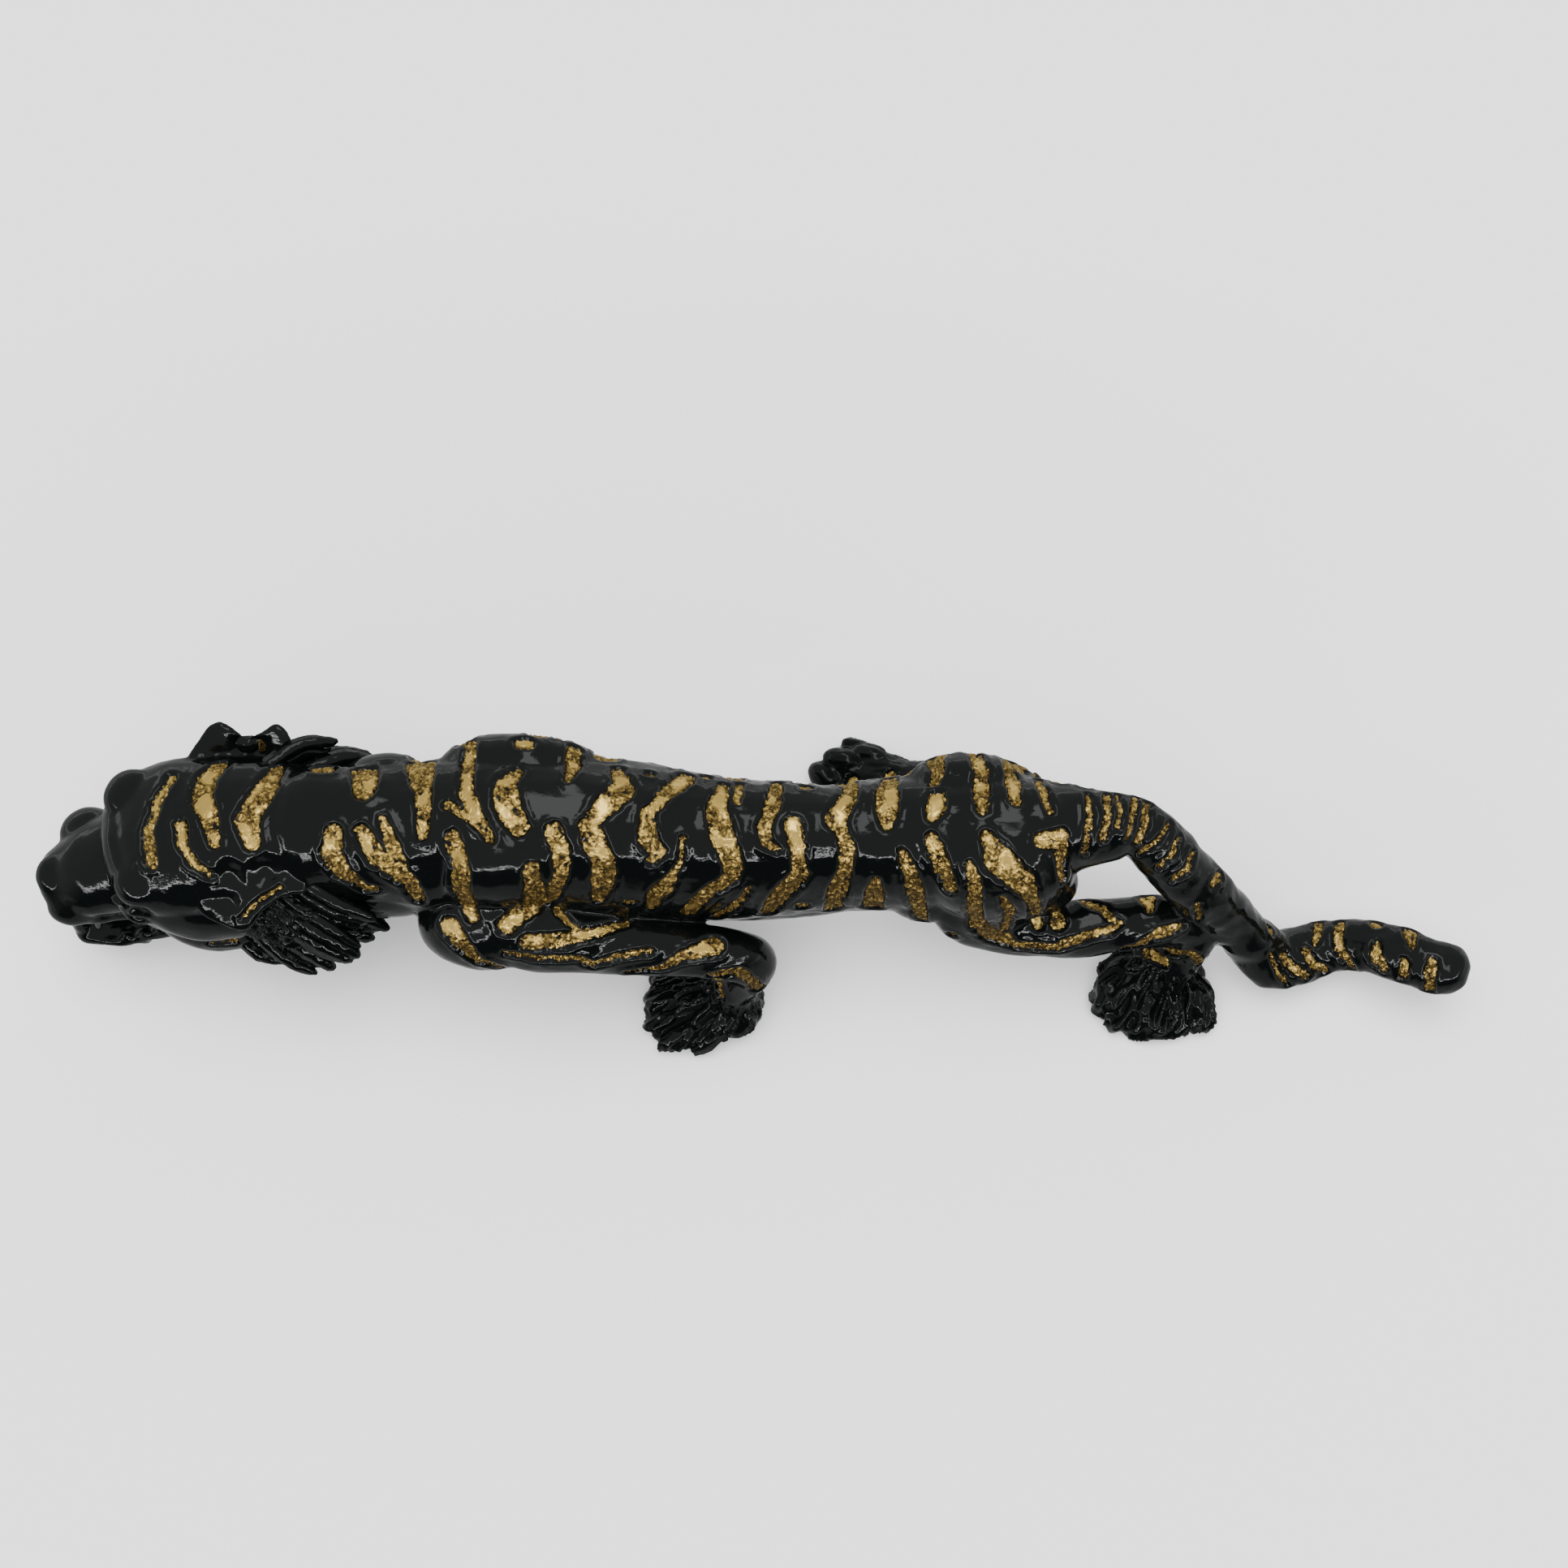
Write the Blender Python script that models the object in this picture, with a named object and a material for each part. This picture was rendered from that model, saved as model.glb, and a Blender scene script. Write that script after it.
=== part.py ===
"""Prowling tiger figurine, one thick casting in black gloss resin with sunken gold stripes.

Metres, +Z up. The head points to -X, the tail to +X, and the photographed side is -Y.
The body is modelled from rounded limbs and lumps, fused by a voxel remesh as clay would be,
then the stripes are pressed into the skin, the paws are cut flat and the casting is centred.
"""
import math

import bmesh
import bpy
import numpy as np
from mathutils import Matrix, Vector
from mathutils.bvhtree import BVHTree
from mathutils.kdtree import KDTree

MM = 0.001

# Sizes of the finish: floor plane, stripe grooves, and how fine the clay and the casting are
FLOOR_CUT = 0.0
STRIPE_DEPTH = 1.2 * MM
STRIPE_EDGE = 1.2 * MM
VOXEL = 1.7 * MM
SOFTENING_PASSES = 7
TRIANGLES = 11500

# Rings and steps of the rounded limbs
RING_POINTS = 20
RING_STEP = 3.0 * MM
CAP_RINGS = 4

# The photographer's eye, which the stripes are sighted from
SIGHT_TILT = math.radians(68)
SIGHT_DISTANCE = 1100 * MM
PICTURE_PIXEL = 0.2831 * MM
PICTURE_CENTRE = 966.0
SIGHT_AIM = Vector((11.2, 22.65, 70.0)) * MM

# Landmarks that set the whole figure's reach
NOSE_X = -243 * MM
TAIL_TIP_X = 246.5 * MM
TAIL_TIP_RADIUS = 9.2 * MM
SHOULDER_Z = 88 * MM
SHOULDER_RISE = 22 * MM
HAUNCH_Z = 80 * MM
HAUNCH_RISE = 26 * MM

# Body path from haunch to neck: x, y, z, half-width and half-height in millimetres
TORSO = [
    (122, -1, 89, 12, 12.5), (112, -1, 88, 14, 16), (98, -1, 85, 18, 23), (80, -1, 80, 22.5, 29),
    (55, -1.5, 75.5, 22, 29), (30, -2.2, 73, 20.5, 29), (17, -2.5, 72.5, 21.5, 30.5), (-3, -2.5, 72, 23, 32),
    (-25, -2, 73.5, 24.5, 33.5), (-50, -0.5, 76, 27, 36), (-85, 0, 79, 27, 35), (-112, -0.5, 80, 25.5, 28),
    (-130, -1, 82, 23.5, 25.5), (-150, 0, 82, 23, 24),
]
SKULL = [
    (-140, 1, 82, 20, 20), (-160, 0.5, 81, 25, 21), (-180, 0, 79, 28, 21), (-196, 0, 77, 28.5, 19.5),
    (-207, -1, 75.5, 27, 16), (-212, -2, 74, 24.5, 13),
]
MUZZLE = [
    (-196, 0, 63, 21.5, 17), (-212, -0.5, 60, 19.5, 14), (-224, -2, 56.5, 18, 12.5),
    (-234, -4, 53, 16.5, 11), (NOSE_X / MM, -6, 50, 12.5, 8.5),
]
JAW = [
    (-184, -1.5, 46, 17, 11), (-200, -2.5, 36, 16, 8), (-216, -4.5, 28, 15, 6.5),
    (-230, -6.5, 23.5, 14.3, 6), (-239.5, -7.5, 22, 12, 5.5),
]
TAIL = [
    (104, -0.5, 90, 13.2, 13.5), (113, 0.6, 90, 11.2, 11.5), (122, 1.3, 89, 10, 10), (131, 0, 87.5, 9.9, 9.9),
    (143, -7, 77, 10.7, 10.7), (152, -11.7, 65, 10.4, 10.4), (165, -15.6, 46, 9.6, 9.6),
    (176.5, -19.8, 28, 9.5, 9.5), (186, -23.2, 16.5, 10.3, 10.3), (195, -22, 13.8, 10.4, 10.4),
    (203, -19.5, 14.5, 9.7, 9.7), (211, -18.8, 17.5, 9.2, 9.2), (219, -20.3, 21.5, 9, 9),
    (228, -24, 25, 9.3, 9.3), (237, -28, 27, 9.6, 9.6),
    (TAIL_TIP_X / MM, -31.5, 28, TAIL_TIP_RADIUS / MM, TAIL_TIP_RADIUS / MM),
]
NEAR_FRONT_LEG = [
    (-92, -21, 74, 14, 17), (-78, -29.5, 68, 14, 16), (-60, -31.5, 65, 12.5, 14), (-40, -33, 60, 10.5, 12),
    (-20, -34, 56, 9.5, 11), (-6, -34, 50, 9, 10.5), (0, -33.5, 42, 9, 9), (-2, -34, 32, 8.5, 8),
    (-6, -35, 22, 9, 8), (-7, -37, 13, 10.5, 9),
]
FAR_FRONT_LEG = [
    (-84, 19, 80, 13, 18), (-95, 23, 66, 12, 15), (-106, 25, 53, 10.5, 12), (-122, 24.5, 42, 9.5, 10),
    (-138, 22.5, 31, 9, 9), (-151, 20.5, 21, 9, 8.5), (-160, 19, 13, 10, 9),
]
NEAR_HIND_LEG = [
    (90, -11, 82, 13, 22), (82, -15, 67, 14, 20), (77, -19, 55, 12, 14), (92, -21.5, 48, 10.5, 12),
    (112, -23, 47, 10, 11), (131, -21, 47, 9.6, 10), (149, -19.5, 44.5, 8.8, 9.5), (156, -20, 36, 8.8, 9),
    (153, -23, 24, 9, 8.5), (146, -26, 14, 12, 9.5),
]
FAR_HIND_LEG = [
    (86, 12, 82, 14, 21), (76, 17, 68, 13.5, 18), (67, 23, 56, 11, 14), (70, 30, 46, 9.5, 11),
    (79, 36, 36, 9, 9.5), (80, 40, 27, 8.5, 8.5), (70, 43, 18, 9, 8.5), (58, 45, 12, 10, 9),
]

# Paws: wrist end and toe end on the floor, half-width, the height of the instep, and how far the toes
# step back from one side of the paw to the other
PAWS = {
    "near_front": ((-6, -36.5), (-32, -40), 14.5, 17, 0),
    "far_front": ((-158, 19), (-184, 16), 13.5, 17, 0),
    "near_hind": ((143, -26), (144.5, -43.5), 20, 17, 9),
    "far_hind": ((57, 43), (32, 54.5), 12.5, 17, 0),
}
TOES = 4
TOE_SHARE = 0.3

# Lumps of muscle and fluff: centre, radii in millimetres, and turn about Z in degrees
LUMPS = {
    "near shoulder blade": ((-82, -15, SHOULDER_Z / MM), (26, 14, SHOULDER_RISE / MM), 8),
    "far shoulder blade": ((-77, 17.5, SHOULDER_Z / MM - 1), (32, 14, SHOULDER_RISE / MM + 1), -4),
    "near point of shoulder": ((-92, -26, 66), (23, 17.5, 19), 0),
    "near haunch": ((84, -13, HAUNCH_Z / MM), (27, 17, HAUNCH_RISE / MM), 0),
    "near buttock": ((98, -13, 68), (15, 10, 17), 0),
    "far haunch": ((74, 12, HAUNCH_Z / MM + 1), (24, 15, HAUNCH_RISE / MM - 1), 0),
    "near thigh": ((80, -18, 62), (17, 12, 18), 0),
    "chest": ((-112, -2, 66), (24, 22, 22), 0),
    "near side of the neck": ((-124, -15, 72), (20, 11, 17), 0),
    "far side of the neck": ((-125, 15, 81), (19, 12.5, 17), 0),
    "near fold of the flank": ((63, -13, 65), (19, 12, 16), 0),
    "near cheek": ((-188, -19.5, 67), (24, 13.5, 16), -6),
    "near cheekbone": ((-203, -23, 62.5), (14, 5.5, 5), -22),
    "far cheek": ((-187, 17, 68), (24, 13, 17), 6),
    "far cheekbone": ((-204, 21, 64.5), (14, 5.5, 5), 20),
    "near jowl": ((-188, -18, 50), (22, 13, 13), -4),
    "far jowl": ((-190, 16, 53), (21, 11, 12), 4),
    "near ruff": ((-156, -20, 66), (22, 15, 19), 0),
    "far ruff": ((-156, 18, 68), (22, 15, 19), 0),
    "near whisker pad": ((-236, -12.5, 48), (12, 9, 9), 18),
    "far whisker pad": ((-232, 10.5, 51), (12.5, 10, 10), -8),
    "nose": ((NOSE_X / MM - 2, -6, 54.5), (6, 7.5, 5.5), 12),
    "bridge of the nose": ((-220, -3.5, 64), (20, 8, 9), 8),
    "near brow": ((-207, -17, 80), (11, 9.5, 7), 14),
    "far brow": ((-212.5, 13, 82), (10.5, 10, 7), -14),
    "near eye": ((-212.5, -20.5, 69.5), (5.2, 4.4, 4.6), 0),
    "far eye": ((-216, 15.8, 71.5), (5.2, 4.4, 4.6), 0),
    "chin": ((-238, -7.5, 20), (8, 9, 6), 8),
    "tongue": ((-212, -2.5, 35), (20, 8, 5), 8),
    "belly": ((0, -4, 62), (58, 20, 19), 0),
}
# Tufts of fur: root, middle and tip in millimetres, then the root's half-width
TUFTS = [
    ((-152, -24, 84), (-140, -28, 78), (-130, -30, 73), 7),
    ((-158, -27, 76), (-146, -33, 69), (-137, -37, 63), 7.5),
    ((-168, -25, 66), (-156, -32, 57), (-147, -35, 51), 8),
    ((-176, -22, 56), (-167, -28, 48), (-160, -30, 43), 8),
    ((-146, -20, 70), (-137, -24, 63), (-130, -26, 58), 7),
    ((-150, -18, 58), (-139, -21, 50), (-131, -23, 46), 7),
    ((-163, 22, 88), (-154, 28, 87), (-146, 29, 86), 6.5),
    ((-152, 21, 84), (-142, 26, 81), (-133, 27, 79), 6.5),
    ((-158, 24, 76), (-146, 31, 71), (-136, 33, 67), 7.5),
    ((-168, 24, 66), (-156, 32, 58), (-147, 35, 53), 8),
    ((-176, 23, 56), (-166, 30, 48), (-158, 33, 43), 8),
    ((-150, 17, 60), (-139, 20, 52), (-131, 22, 47), 7),
]
# Canine teeth, made as tufts are
CANINES = [
    ((-230, -15.5, 46), (-231, -17, 39), (-232, -18, 32), 3.8),
    ((-228, 9.5, 47), (-229, 10.5, 40), (-230, 11, 33), 3.8),
    ((-238.5, -14, 21), (-239.5, -15, 28.5), (-239.5, -15.5, 36), 3.5),
    ((-237.5, 0.5, 21), (-238.5, 1, 28.5), (-238.5, 1.2, 36), 3.5),
]
# Ears, laid flat in anger: pairs of a root on the skull and the rim beyond it, from front to back
NEAR_EAR = [
    ((-185, -24, 84), (-184.5, -29, 82)), ((-178, -21, 88), (-178, -32, 80)),
    ((-169, -18, 91), (-171.5, -34, 80)), ((-162, -16, 92), (-165.5, -27.5, 84.5)),
    ((-156, -16, 91), (-160, -25, 88)), ((-151, -17, 87), (-152.5, -24, 88.5)),
]
FAR_EAR = [
    ((-191, 22, 82), (-192, 28, 86)), ((-184, 25, 80), (-184.5, 35.5, 91)),
    ((-176, 25, 80), (-176.5, 32.5, 89.5)), ((-168, 25, 80), (-168, 32, 90.5)),
    ((-161, 24, 82), (-162.5, 34, 93)), ((-156, 22, 82), (-158.5, 28, 90)),
]
EAR_THICKNESS = 3.6 * MM
EAR_STRIP = 2.9 * MM
EAR_ARCH = 1.6 * MM
# Hollows pressed in with a round tool: centre, radius, depth in millimetres
HOLLOWS = [
    ((-216, -24, 74.5), 6, 2.4), ((-219.5, 19, 76.5), 6, 2.4), ((-221, -20.5, 66), 5, 2), ((-224, 15, 68), 5, 2),
    ((-172, 27, 91), 8, 3),
    ((-251, -9, 53), 3, 1.8), ((-251, -3, 53), 3, 1.8),
]

# Stripes, sighted on the skin: points in the photograph's pixels, then the widths there in pixels
HEAD_STRIPES = [
    ([(212, 956), (193, 987), (181, 1026), (186, 1062)], (8, 13)),
    ([(222, 1017), (225, 1043), (238, 1065), (259, 1078)], (16, 8)),
    ([(271, 942), (254, 958), (248, 984), (258, 1010), (264, 1039)], (20, 26, 29, 20, 12)),
    ([(342, 945), (329, 968), (316, 987), (303, 1010), (310, 1039)], (14, 26, 30, 30, 20)),
    ([(261, 1161), (290, 1160)], (8,)),
]
NECK_STRIPES = [
    ([(394, 948), (402, 948)], (20,)),
    ([(450, 952), (448, 974)], (32, 26)),
    ([(518, 942), (521, 978), (521, 1010), (520, 1030)], (36, 22, 18, 12)),
    ([(411, 1026), (407, 1052), (420, 1075), (450, 1095), (463, 1096)], (22, 25, 22, 14, 10)),
    ([(445, 1023), (463, 1056), (485, 1072), (505, 1088), (515, 1108)], (16, 22, 24, 20, 18)),
    ([(471, 1008), (480, 1033), (489, 1065)], (10, 22)),
]
SHOULDER_STRIPES = [
    ([(579, 916), (576, 946), (574, 976), (586, 1006), (604, 1034)], (16, 16, 18, 20, 10)),
    ([(551, 991), (576, 1006)], (12,)),
    ([(639, 950), (623, 963), (623, 989), (639, 1019)], (12, 30, 32, 24)),
    ([(642, 915), (650, 915)], (18,)),
    ([(709, 923), (706, 943), (699, 960)], (20, 18, 8)),
    ([(762, 950), (769, 970), (745, 993), (725, 1019), (735, 1046), (745, 1066), (742, 1092), (737, 1109)],
     (16, 30, 28, 20, 28, 28, 30, 16)),
    ([(682, 1024), (692, 1052), (692, 1079), (679, 1105), (652, 1119), (623, 1142)],
     (22, 22, 16, 20, 20, 22)),
    ([(656, 1072), (659, 1105)], (20, 28)),
    ([(556, 1034), (566, 1066), (566, 1096), (583, 1132)], (22, 25, 25, 14)),
    ([(553, 1142), (566, 1162), (589, 1185), (619, 1192)], (26, 20, 10, 6)),
    ([(652, 1162), (692, 1159), (732, 1149), (772, 1137)], (22, 20, 14, 8)),
    ([(686, 1122), (712, 1145)], (8,)),
    ([(623, 1175), (666, 1182), (712, 1182), (732, 1190), (765, 1178), (802, 1173)], (8,)),
    ([(772, 1198), (818, 1193), (845, 1178), (881, 1165)], (6, 8, 16, 26)),
    ([(875, 1202), (911, 1198), (934, 1218)], (8, 14, 16)),
    ([(885, 1208), (888, 1228)], (16, 10)),
]
FLANK_STRIPES = [
    ([(845, 958), (822, 976), (798, 1003), (798, 1033), (812, 1052), (802, 1062)], (24, 20, 14, 22, 22, 10)),
    ([(841, 1033), (838, 1066), (825, 1086), (808, 1106), (802, 1119)], (6, 6, 10, 26, 14)),
    ([(772, 1112), (778, 1112)], (10,)),
    ([(891, 970), (883, 996), (891, 1033), (904, 1066), (901, 1082), (871, 1102), (848, 1125)],
     (16, 26, 30, 26, 18, 20, 22)),
    ([(911, 966), (908, 986)], (10,)),
    ([(924, 1096), (904, 1119), (881, 1130)], (6, 12, 10)),
    ([(958, 963), (951, 993), (941, 1019), (944, 1039), (958, 1047)], (14, 20, 16, 16, 8)),
    ([(977, 1016), (981, 1036), (986, 1069)], (22, 20, 16)),
    ([(987, 1079), (967, 1099), (944, 1125)], (22, 26, 16)),
    ([(798, 954), (802, 954)], (8,)),
    ([(869, 958), (873, 958)], (10,)),
    ([(992, 970), (996, 970)], (12,)),
    ([(987, 1116), (991, 1116)], (12,)),
    ([(1050, 963), (1044, 984), (1029, 1009), (1038, 1024), (1044, 1048), (1041, 1076), (1029, 1107),
      (1026, 1119)], (16, 22, 26, 14, 20, 16, 24, 20)),
    ([(1078, 1085), (1078, 1100), (1075, 1116)], (10, 22, 26)),
]
HIP_STRIPES = [
    ([(1099, 953), (1093, 969), (1093, 993), (1093, 1015)], (12, 28, 28, 16)),
    ([(1151, 932), (1154, 947), (1151, 963)], (22, 20, 14)),
    ([(1154, 981), (1153, 993), (1148, 1006)], (20, 24, 14)),
    ([(1203, 932), (1211, 950), (1209, 972), (1211, 996)], (16, 20, 20, 14)),
    ([(1243, 941), (1249, 963), (1252, 987)], (16, 20, 12)),
    ([(1274, 953), (1286, 975), (1294, 999)], (8, 10, 10)),
    ([(1111, 1051), (1121, 1076), (1130, 1113), (1136, 1134)], (10, 20, 22, 14)),
    ([(1148, 1036), (1157, 1061), (1170, 1094)], (18, 22, 18)),
    ([(1194, 1067), (1200, 1088), (1200, 1125), (1206, 1143), (1243, 1159)], (12, 18, 20, 22, 14)),
    ([(1216, 1030), (1234, 1064), (1261, 1088), (1274, 1113), (1280, 1140)], (14, 36, 34, 18, 12)),
    ([(1235, 1107), (1245, 1125), (1238, 1146)], (8, 16, 10)),
    ([(1283, 1036), (1307, 1033), (1307, 1058), (1310, 1082)], (18, 24, 14, 12)),
    ([(1304, 1122), (1304, 1137)], (12, 20)),
    ([(1171, 1151), (1175, 1151)], (10,)),
    ([(1212, 1152), (1252, 1165), (1301, 1169), (1338, 1155), (1369, 1146), (1378, 1137)],
     (14, 10, 12, 14, 12, 10)),
]
SHANK_STRIPES = [
    ([(1328, 1107), (1362, 1120), (1369, 1131)], (8, 14, 10)),
    ([(1414, 1107), (1417, 1120)], (20, 10)),
    ([(1476, 1117), (1477, 1134)], (8,)),
    ([(1455, 1141), (1431, 1151), (1403, 1165), (1383, 1169)], (10, 18, 12, 6)),
    ([(1410, 1172), (1434, 1186)], (14,)),
    ([(1438, 1170), (1465, 1176), (1483, 1189)], (8, 18, 14)),
]
TAIL_STRIPES = [
    ([(1341, 981), (1344, 1002), (1341, 1021), (1338, 1051)], (8,)),
    ([(1364, 981), (1367, 1002), (1359, 1033)], (9,)),
    ([(1378, 981), (1382, 1002), (1378, 1018)], (7,)),
    ([(1399, 984), (1396, 1012), (1390, 1033)], (8,)),
    ([(1414, 990), (1411, 1018), (1403, 1037)], (10,)),
    ([(1441, 1014), (1427, 1038), (1403, 1052)], (6,)),
    ([(1452, 1031), (1445, 1055), (1427, 1069)], (6,)),
    ([(1470, 1052), (1464, 1072), (1445, 1084)], (8,)),
    ([(1503, 1079), (1496, 1089)], (12,)),
    ([(1565, 1145), (1567, 1147)], (12,)),
    ([(1567, 1176), (1576, 1203), (1586, 1213)], (6,)),
    ([(1582, 1179), (1593, 1193), (1610, 1203)], (12,)),
    ([(1610, 1172), (1620, 1189), (1631, 1196)], (12,)),
    ([(1624, 1138), (1620, 1162)], (12, 8)),
    ([(1651, 1138), (1648, 1155), (1651, 1172), (1665, 1193)], (12,)),
    ([(1694, 1138), (1696, 1140)], (12,)),
    ([(1696, 1165), (1693, 1179), (1706, 1196)], (10, 16, 10)),
    ([(1737, 1148), (1741, 1165)], (18, 8)),
    ([(1730, 1186), (1727, 1203)], (14,)),
    ([(1765, 1186), (1761, 1210), (1761, 1220)], (14, 12)),
]
STRIPES = (HEAD_STRIPES + NECK_STRIPES + SHOULDER_STRIPES + FLANK_STRIPES + HIP_STRIPES
           + SHANK_STRIPES + TAIL_STRIPES)
STROKE_STEP = 0.9 * MM
# A mirrored stripe is kept only where the skin turns away from the photographer by this much
HIDDEN_SIDE = 0.10


def material(name, colour, roughness, metallic):
    """One Principled material."""
    made = bpy.data.materials.new(name)
    made.use_nodes = True
    shader = made.node_tree.nodes["Principled BSDF"]
    shader.inputs["Base Color"].default_value = (*colour, 1)
    shader.inputs["Roughness"].default_value = roughness
    shader.inputs["Metallic"].default_value = metallic
    return made


def smooth_path(stations):
    """Stations in millimetres to rings a few millimetres apart, along a Catmull-Rom curve in metres."""
    points = [np.array(s, dtype=float) * MM for s in stations]
    ends = [2 * points[0] - points[1]] + points + [2 * points[-1] - points[-2]]
    path = []
    for a, b, c, d in zip(ends, ends[1:], ends[2:], ends[3:]):
        steps = max(1, round(np.linalg.norm(c[:3] - b[:3]) / RING_STEP))
        for k in range(steps):
            t = k / steps
            path.append(0.5 * (2 * b + (c - a) * t + (2 * a - 5 * b + 4 * c - d) * t ** 2
                               + (3 * b - a - 3 * c + d) * t ** 3))
    path.append(points[-1])
    return path


def limb(bm, stations, side=(0, 1, 0)):
    """A closed rounded limb with oval rings: x, y, z, half-width along side and half-height."""
    path = smooth_path(stations)
    side = Vector(side)
    rings = []
    for k, (x, y, z, width, height) in enumerate(path):
        before = path[max(k - 1, 0)][:3]
        after = path[min(k + 1, len(path) - 1)][:3]
        along = Vector(after - before).normalized()
        across = (side - along * side.dot(along)).normalized()
        rings.append((Vector((x, y, z)), along, across, along.cross(across), width, height))
    caps = []
    for sign, (centre, along, across, up, width, height) in ((-1, rings[0]), (1, rings[-1])):
        cap = []
        for k in range(1, CAP_RINGS):
            angle = k / CAP_RINGS * math.pi / 2
            reach = min(width, height) * 0.9 * math.sin(angle)
            cap.append((centre + along * sign * reach, along, across, up,
                        width * math.cos(angle), height * math.cos(angle)))
        caps.append(cap)
    rings = caps[0][::-1] + rings + caps[1]
    loops = []
    for centre, _, across, up, width, height in rings:
        loop = []
        for k in range(RING_POINTS):
            angle = 2 * math.pi * k / RING_POINTS
            loop.append(bm.verts.new(centre + across * width * math.cos(angle) + up * height * math.sin(angle)))
        loops.append(loop)
    for first, second in zip(loops, loops[1:]):
        for k in range(RING_POINTS):
            n = (k + 1) % RING_POINTS
            bm.faces.new((first[k], first[n], second[n], second[k]))
    bm.faces.new(loops[0][::-1])
    bm.faces.new(loops[-1])


def lump(bm, centre, radii, turn=0):
    """An egg-shaped lump."""
    place = (Matrix.Translation(Vector(centre) * MM) @ Matrix.Rotation(math.radians(turn), 4, "Z")
             @ Matrix.Diagonal((*(Vector(radii) * MM), 1)))
    bmesh.ops.create_icosphere(bm, subdivisions=3, radius=1, matrix=place)


def tuft(bm, root, middle, tip, width):
    """A pointed lock of fur, flat against the neck."""
    limb(bm, [(*root, width * 0.62, width), (*middle, width * 0.42, width * 0.72), (*tip, 1.3, 1.6)])


def paw(bm, wrist, toe_end, half_width, instep, step_back):
    """A broad paw with toes and claws that spread from the wrist."""
    wrist = Vector((*wrist, 0))
    toe_end = Vector((*toe_end, 0))
    ahead = (toe_end - wrist).normalized()
    across = Vector((-ahead.y, ahead.x, 0))
    reach = (toe_end - wrist).length
    middle = wrist + ahead * reach * 0.45
    limb(bm, [(wrist.x, wrist.y, instep * 0.62, half_width * 0.92, instep * 0.62),
              (middle.x, middle.y, instep * 0.46, half_width, instep * 0.52),
              (toe_end.x, toe_end.y, 5, half_width * 0.86, 6.2)], across)
    toe = half_width * TOE_SHARE
    for k in range(TOES):
        spread = (k / (TOES - 1) - 0.5) * 2
        root = wrist + ahead * reach * 0.5 + across * spread * half_width * 0.62
        tip = toe_end + ahead * (4.5 - 4 * spread ** 2) + across * spread * half_width * 0.82
        tip -= ahead * step_back * (1 - spread) / 2
        middle = (root + tip) / 2
        limb(bm, [(root.x, root.y, 8.5, toe, toe + 1), (middle.x, middle.y, 8, toe, toe + 1),
                  (tip.x, tip.y, 4.6, toe * 0.85, 4.6)], across)


def ear(bm, pairs):
    """A laid-back ear: strips side by side, each arching from its root on the skull to the rim."""
    strips = smooth_path([(*root, *rim) for root, rim in pairs])
    for k, strip in enumerate(strips):
        before = Vector(strips[max(k - 1, 0)][3:])
        after = Vector(strips[min(k + 1, len(strips) - 1)][3:])
        root = Vector(strip[:3])
        rim = Vector(strip[3:])
        crest = (root + rim) / 2 + Vector((0, 0, EAR_ARCH))
        limb(bm, [(*(place / MM), EAR_STRIP / MM, EAR_THICKNESS / MM / 2) for place in (root, crest, rim)],
             after - before)


def sketch():
    """All limbs and lumps in one mesh, still overlapping."""
    bm = bmesh.new()
    for stations in (TORSO, SKULL, MUZZLE, JAW, TAIL):
        limb(bm, stations)
    for stations in (NEAR_FRONT_LEG, FAR_FRONT_LEG, NEAR_HIND_LEG, FAR_HIND_LEG):
        limb(bm, stations)
    for wrist, toe_end, half_width, instep, step_back in PAWS.values():
        paw(bm, wrist, toe_end, half_width, instep, step_back)
    for centre, radii, turn in LUMPS.values():
        lump(bm, centre, radii, turn)
    for root, middle, tip, width in TUFTS + CANINES:
        tuft(bm, root, middle, tip, width)
    for pairs in (NEAR_EAR, FAR_EAR):
        ear(bm, pairs)
    mesh = bpy.data.meshes.new("sketch")
    bm.to_mesh(mesh)
    bm.free()
    made = bpy.data.objects.new("sketch", mesh)
    bpy.context.scene.collection.objects.link(made)
    return made


def settled(made, modifiers):
    """The object's mesh with these modifiers applied: kind and settings."""
    for kind, settings in modifiers:
        modifier = made.modifiers.new(kind.title(), kind)
        for key, value in settings.items():
            setattr(modifier, key, value)
    view = bpy.context.evaluated_depsgraph_get()
    mesh = bpy.data.meshes.new_from_object(made.evaluated_get(view))
    made.modifiers.clear()
    return mesh


def sighted(skin, pixel, mirrored):
    """The place on the skin that the photographer sees at a pixel, and the skin's direction there."""
    sign = -1 if mirrored else 1
    back = Vector((0, -math.cos(SIGHT_TILT), math.sin(SIGHT_TILT)))
    eye = SIGHT_AIM + back * SIGHT_DISTANCE
    right = (pixel[0] - PICTURE_CENTRE) * PICTURE_PIXEL
    up = (PICTURE_CENTRE - pixel[1]) * PICTURE_PIXEL
    target = SIGHT_AIM + Vector((right, up * math.sin(SIGHT_TILT), up * math.cos(SIGHT_TILT)))
    eye = Vector((eye.x, eye.y * sign, eye.z))
    ray = Vector((target.x, target.y * sign, target.z)) - eye
    place, direction, _, _ = skin.ray_cast(eye, ray.normalized())
    return place, direction


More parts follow.
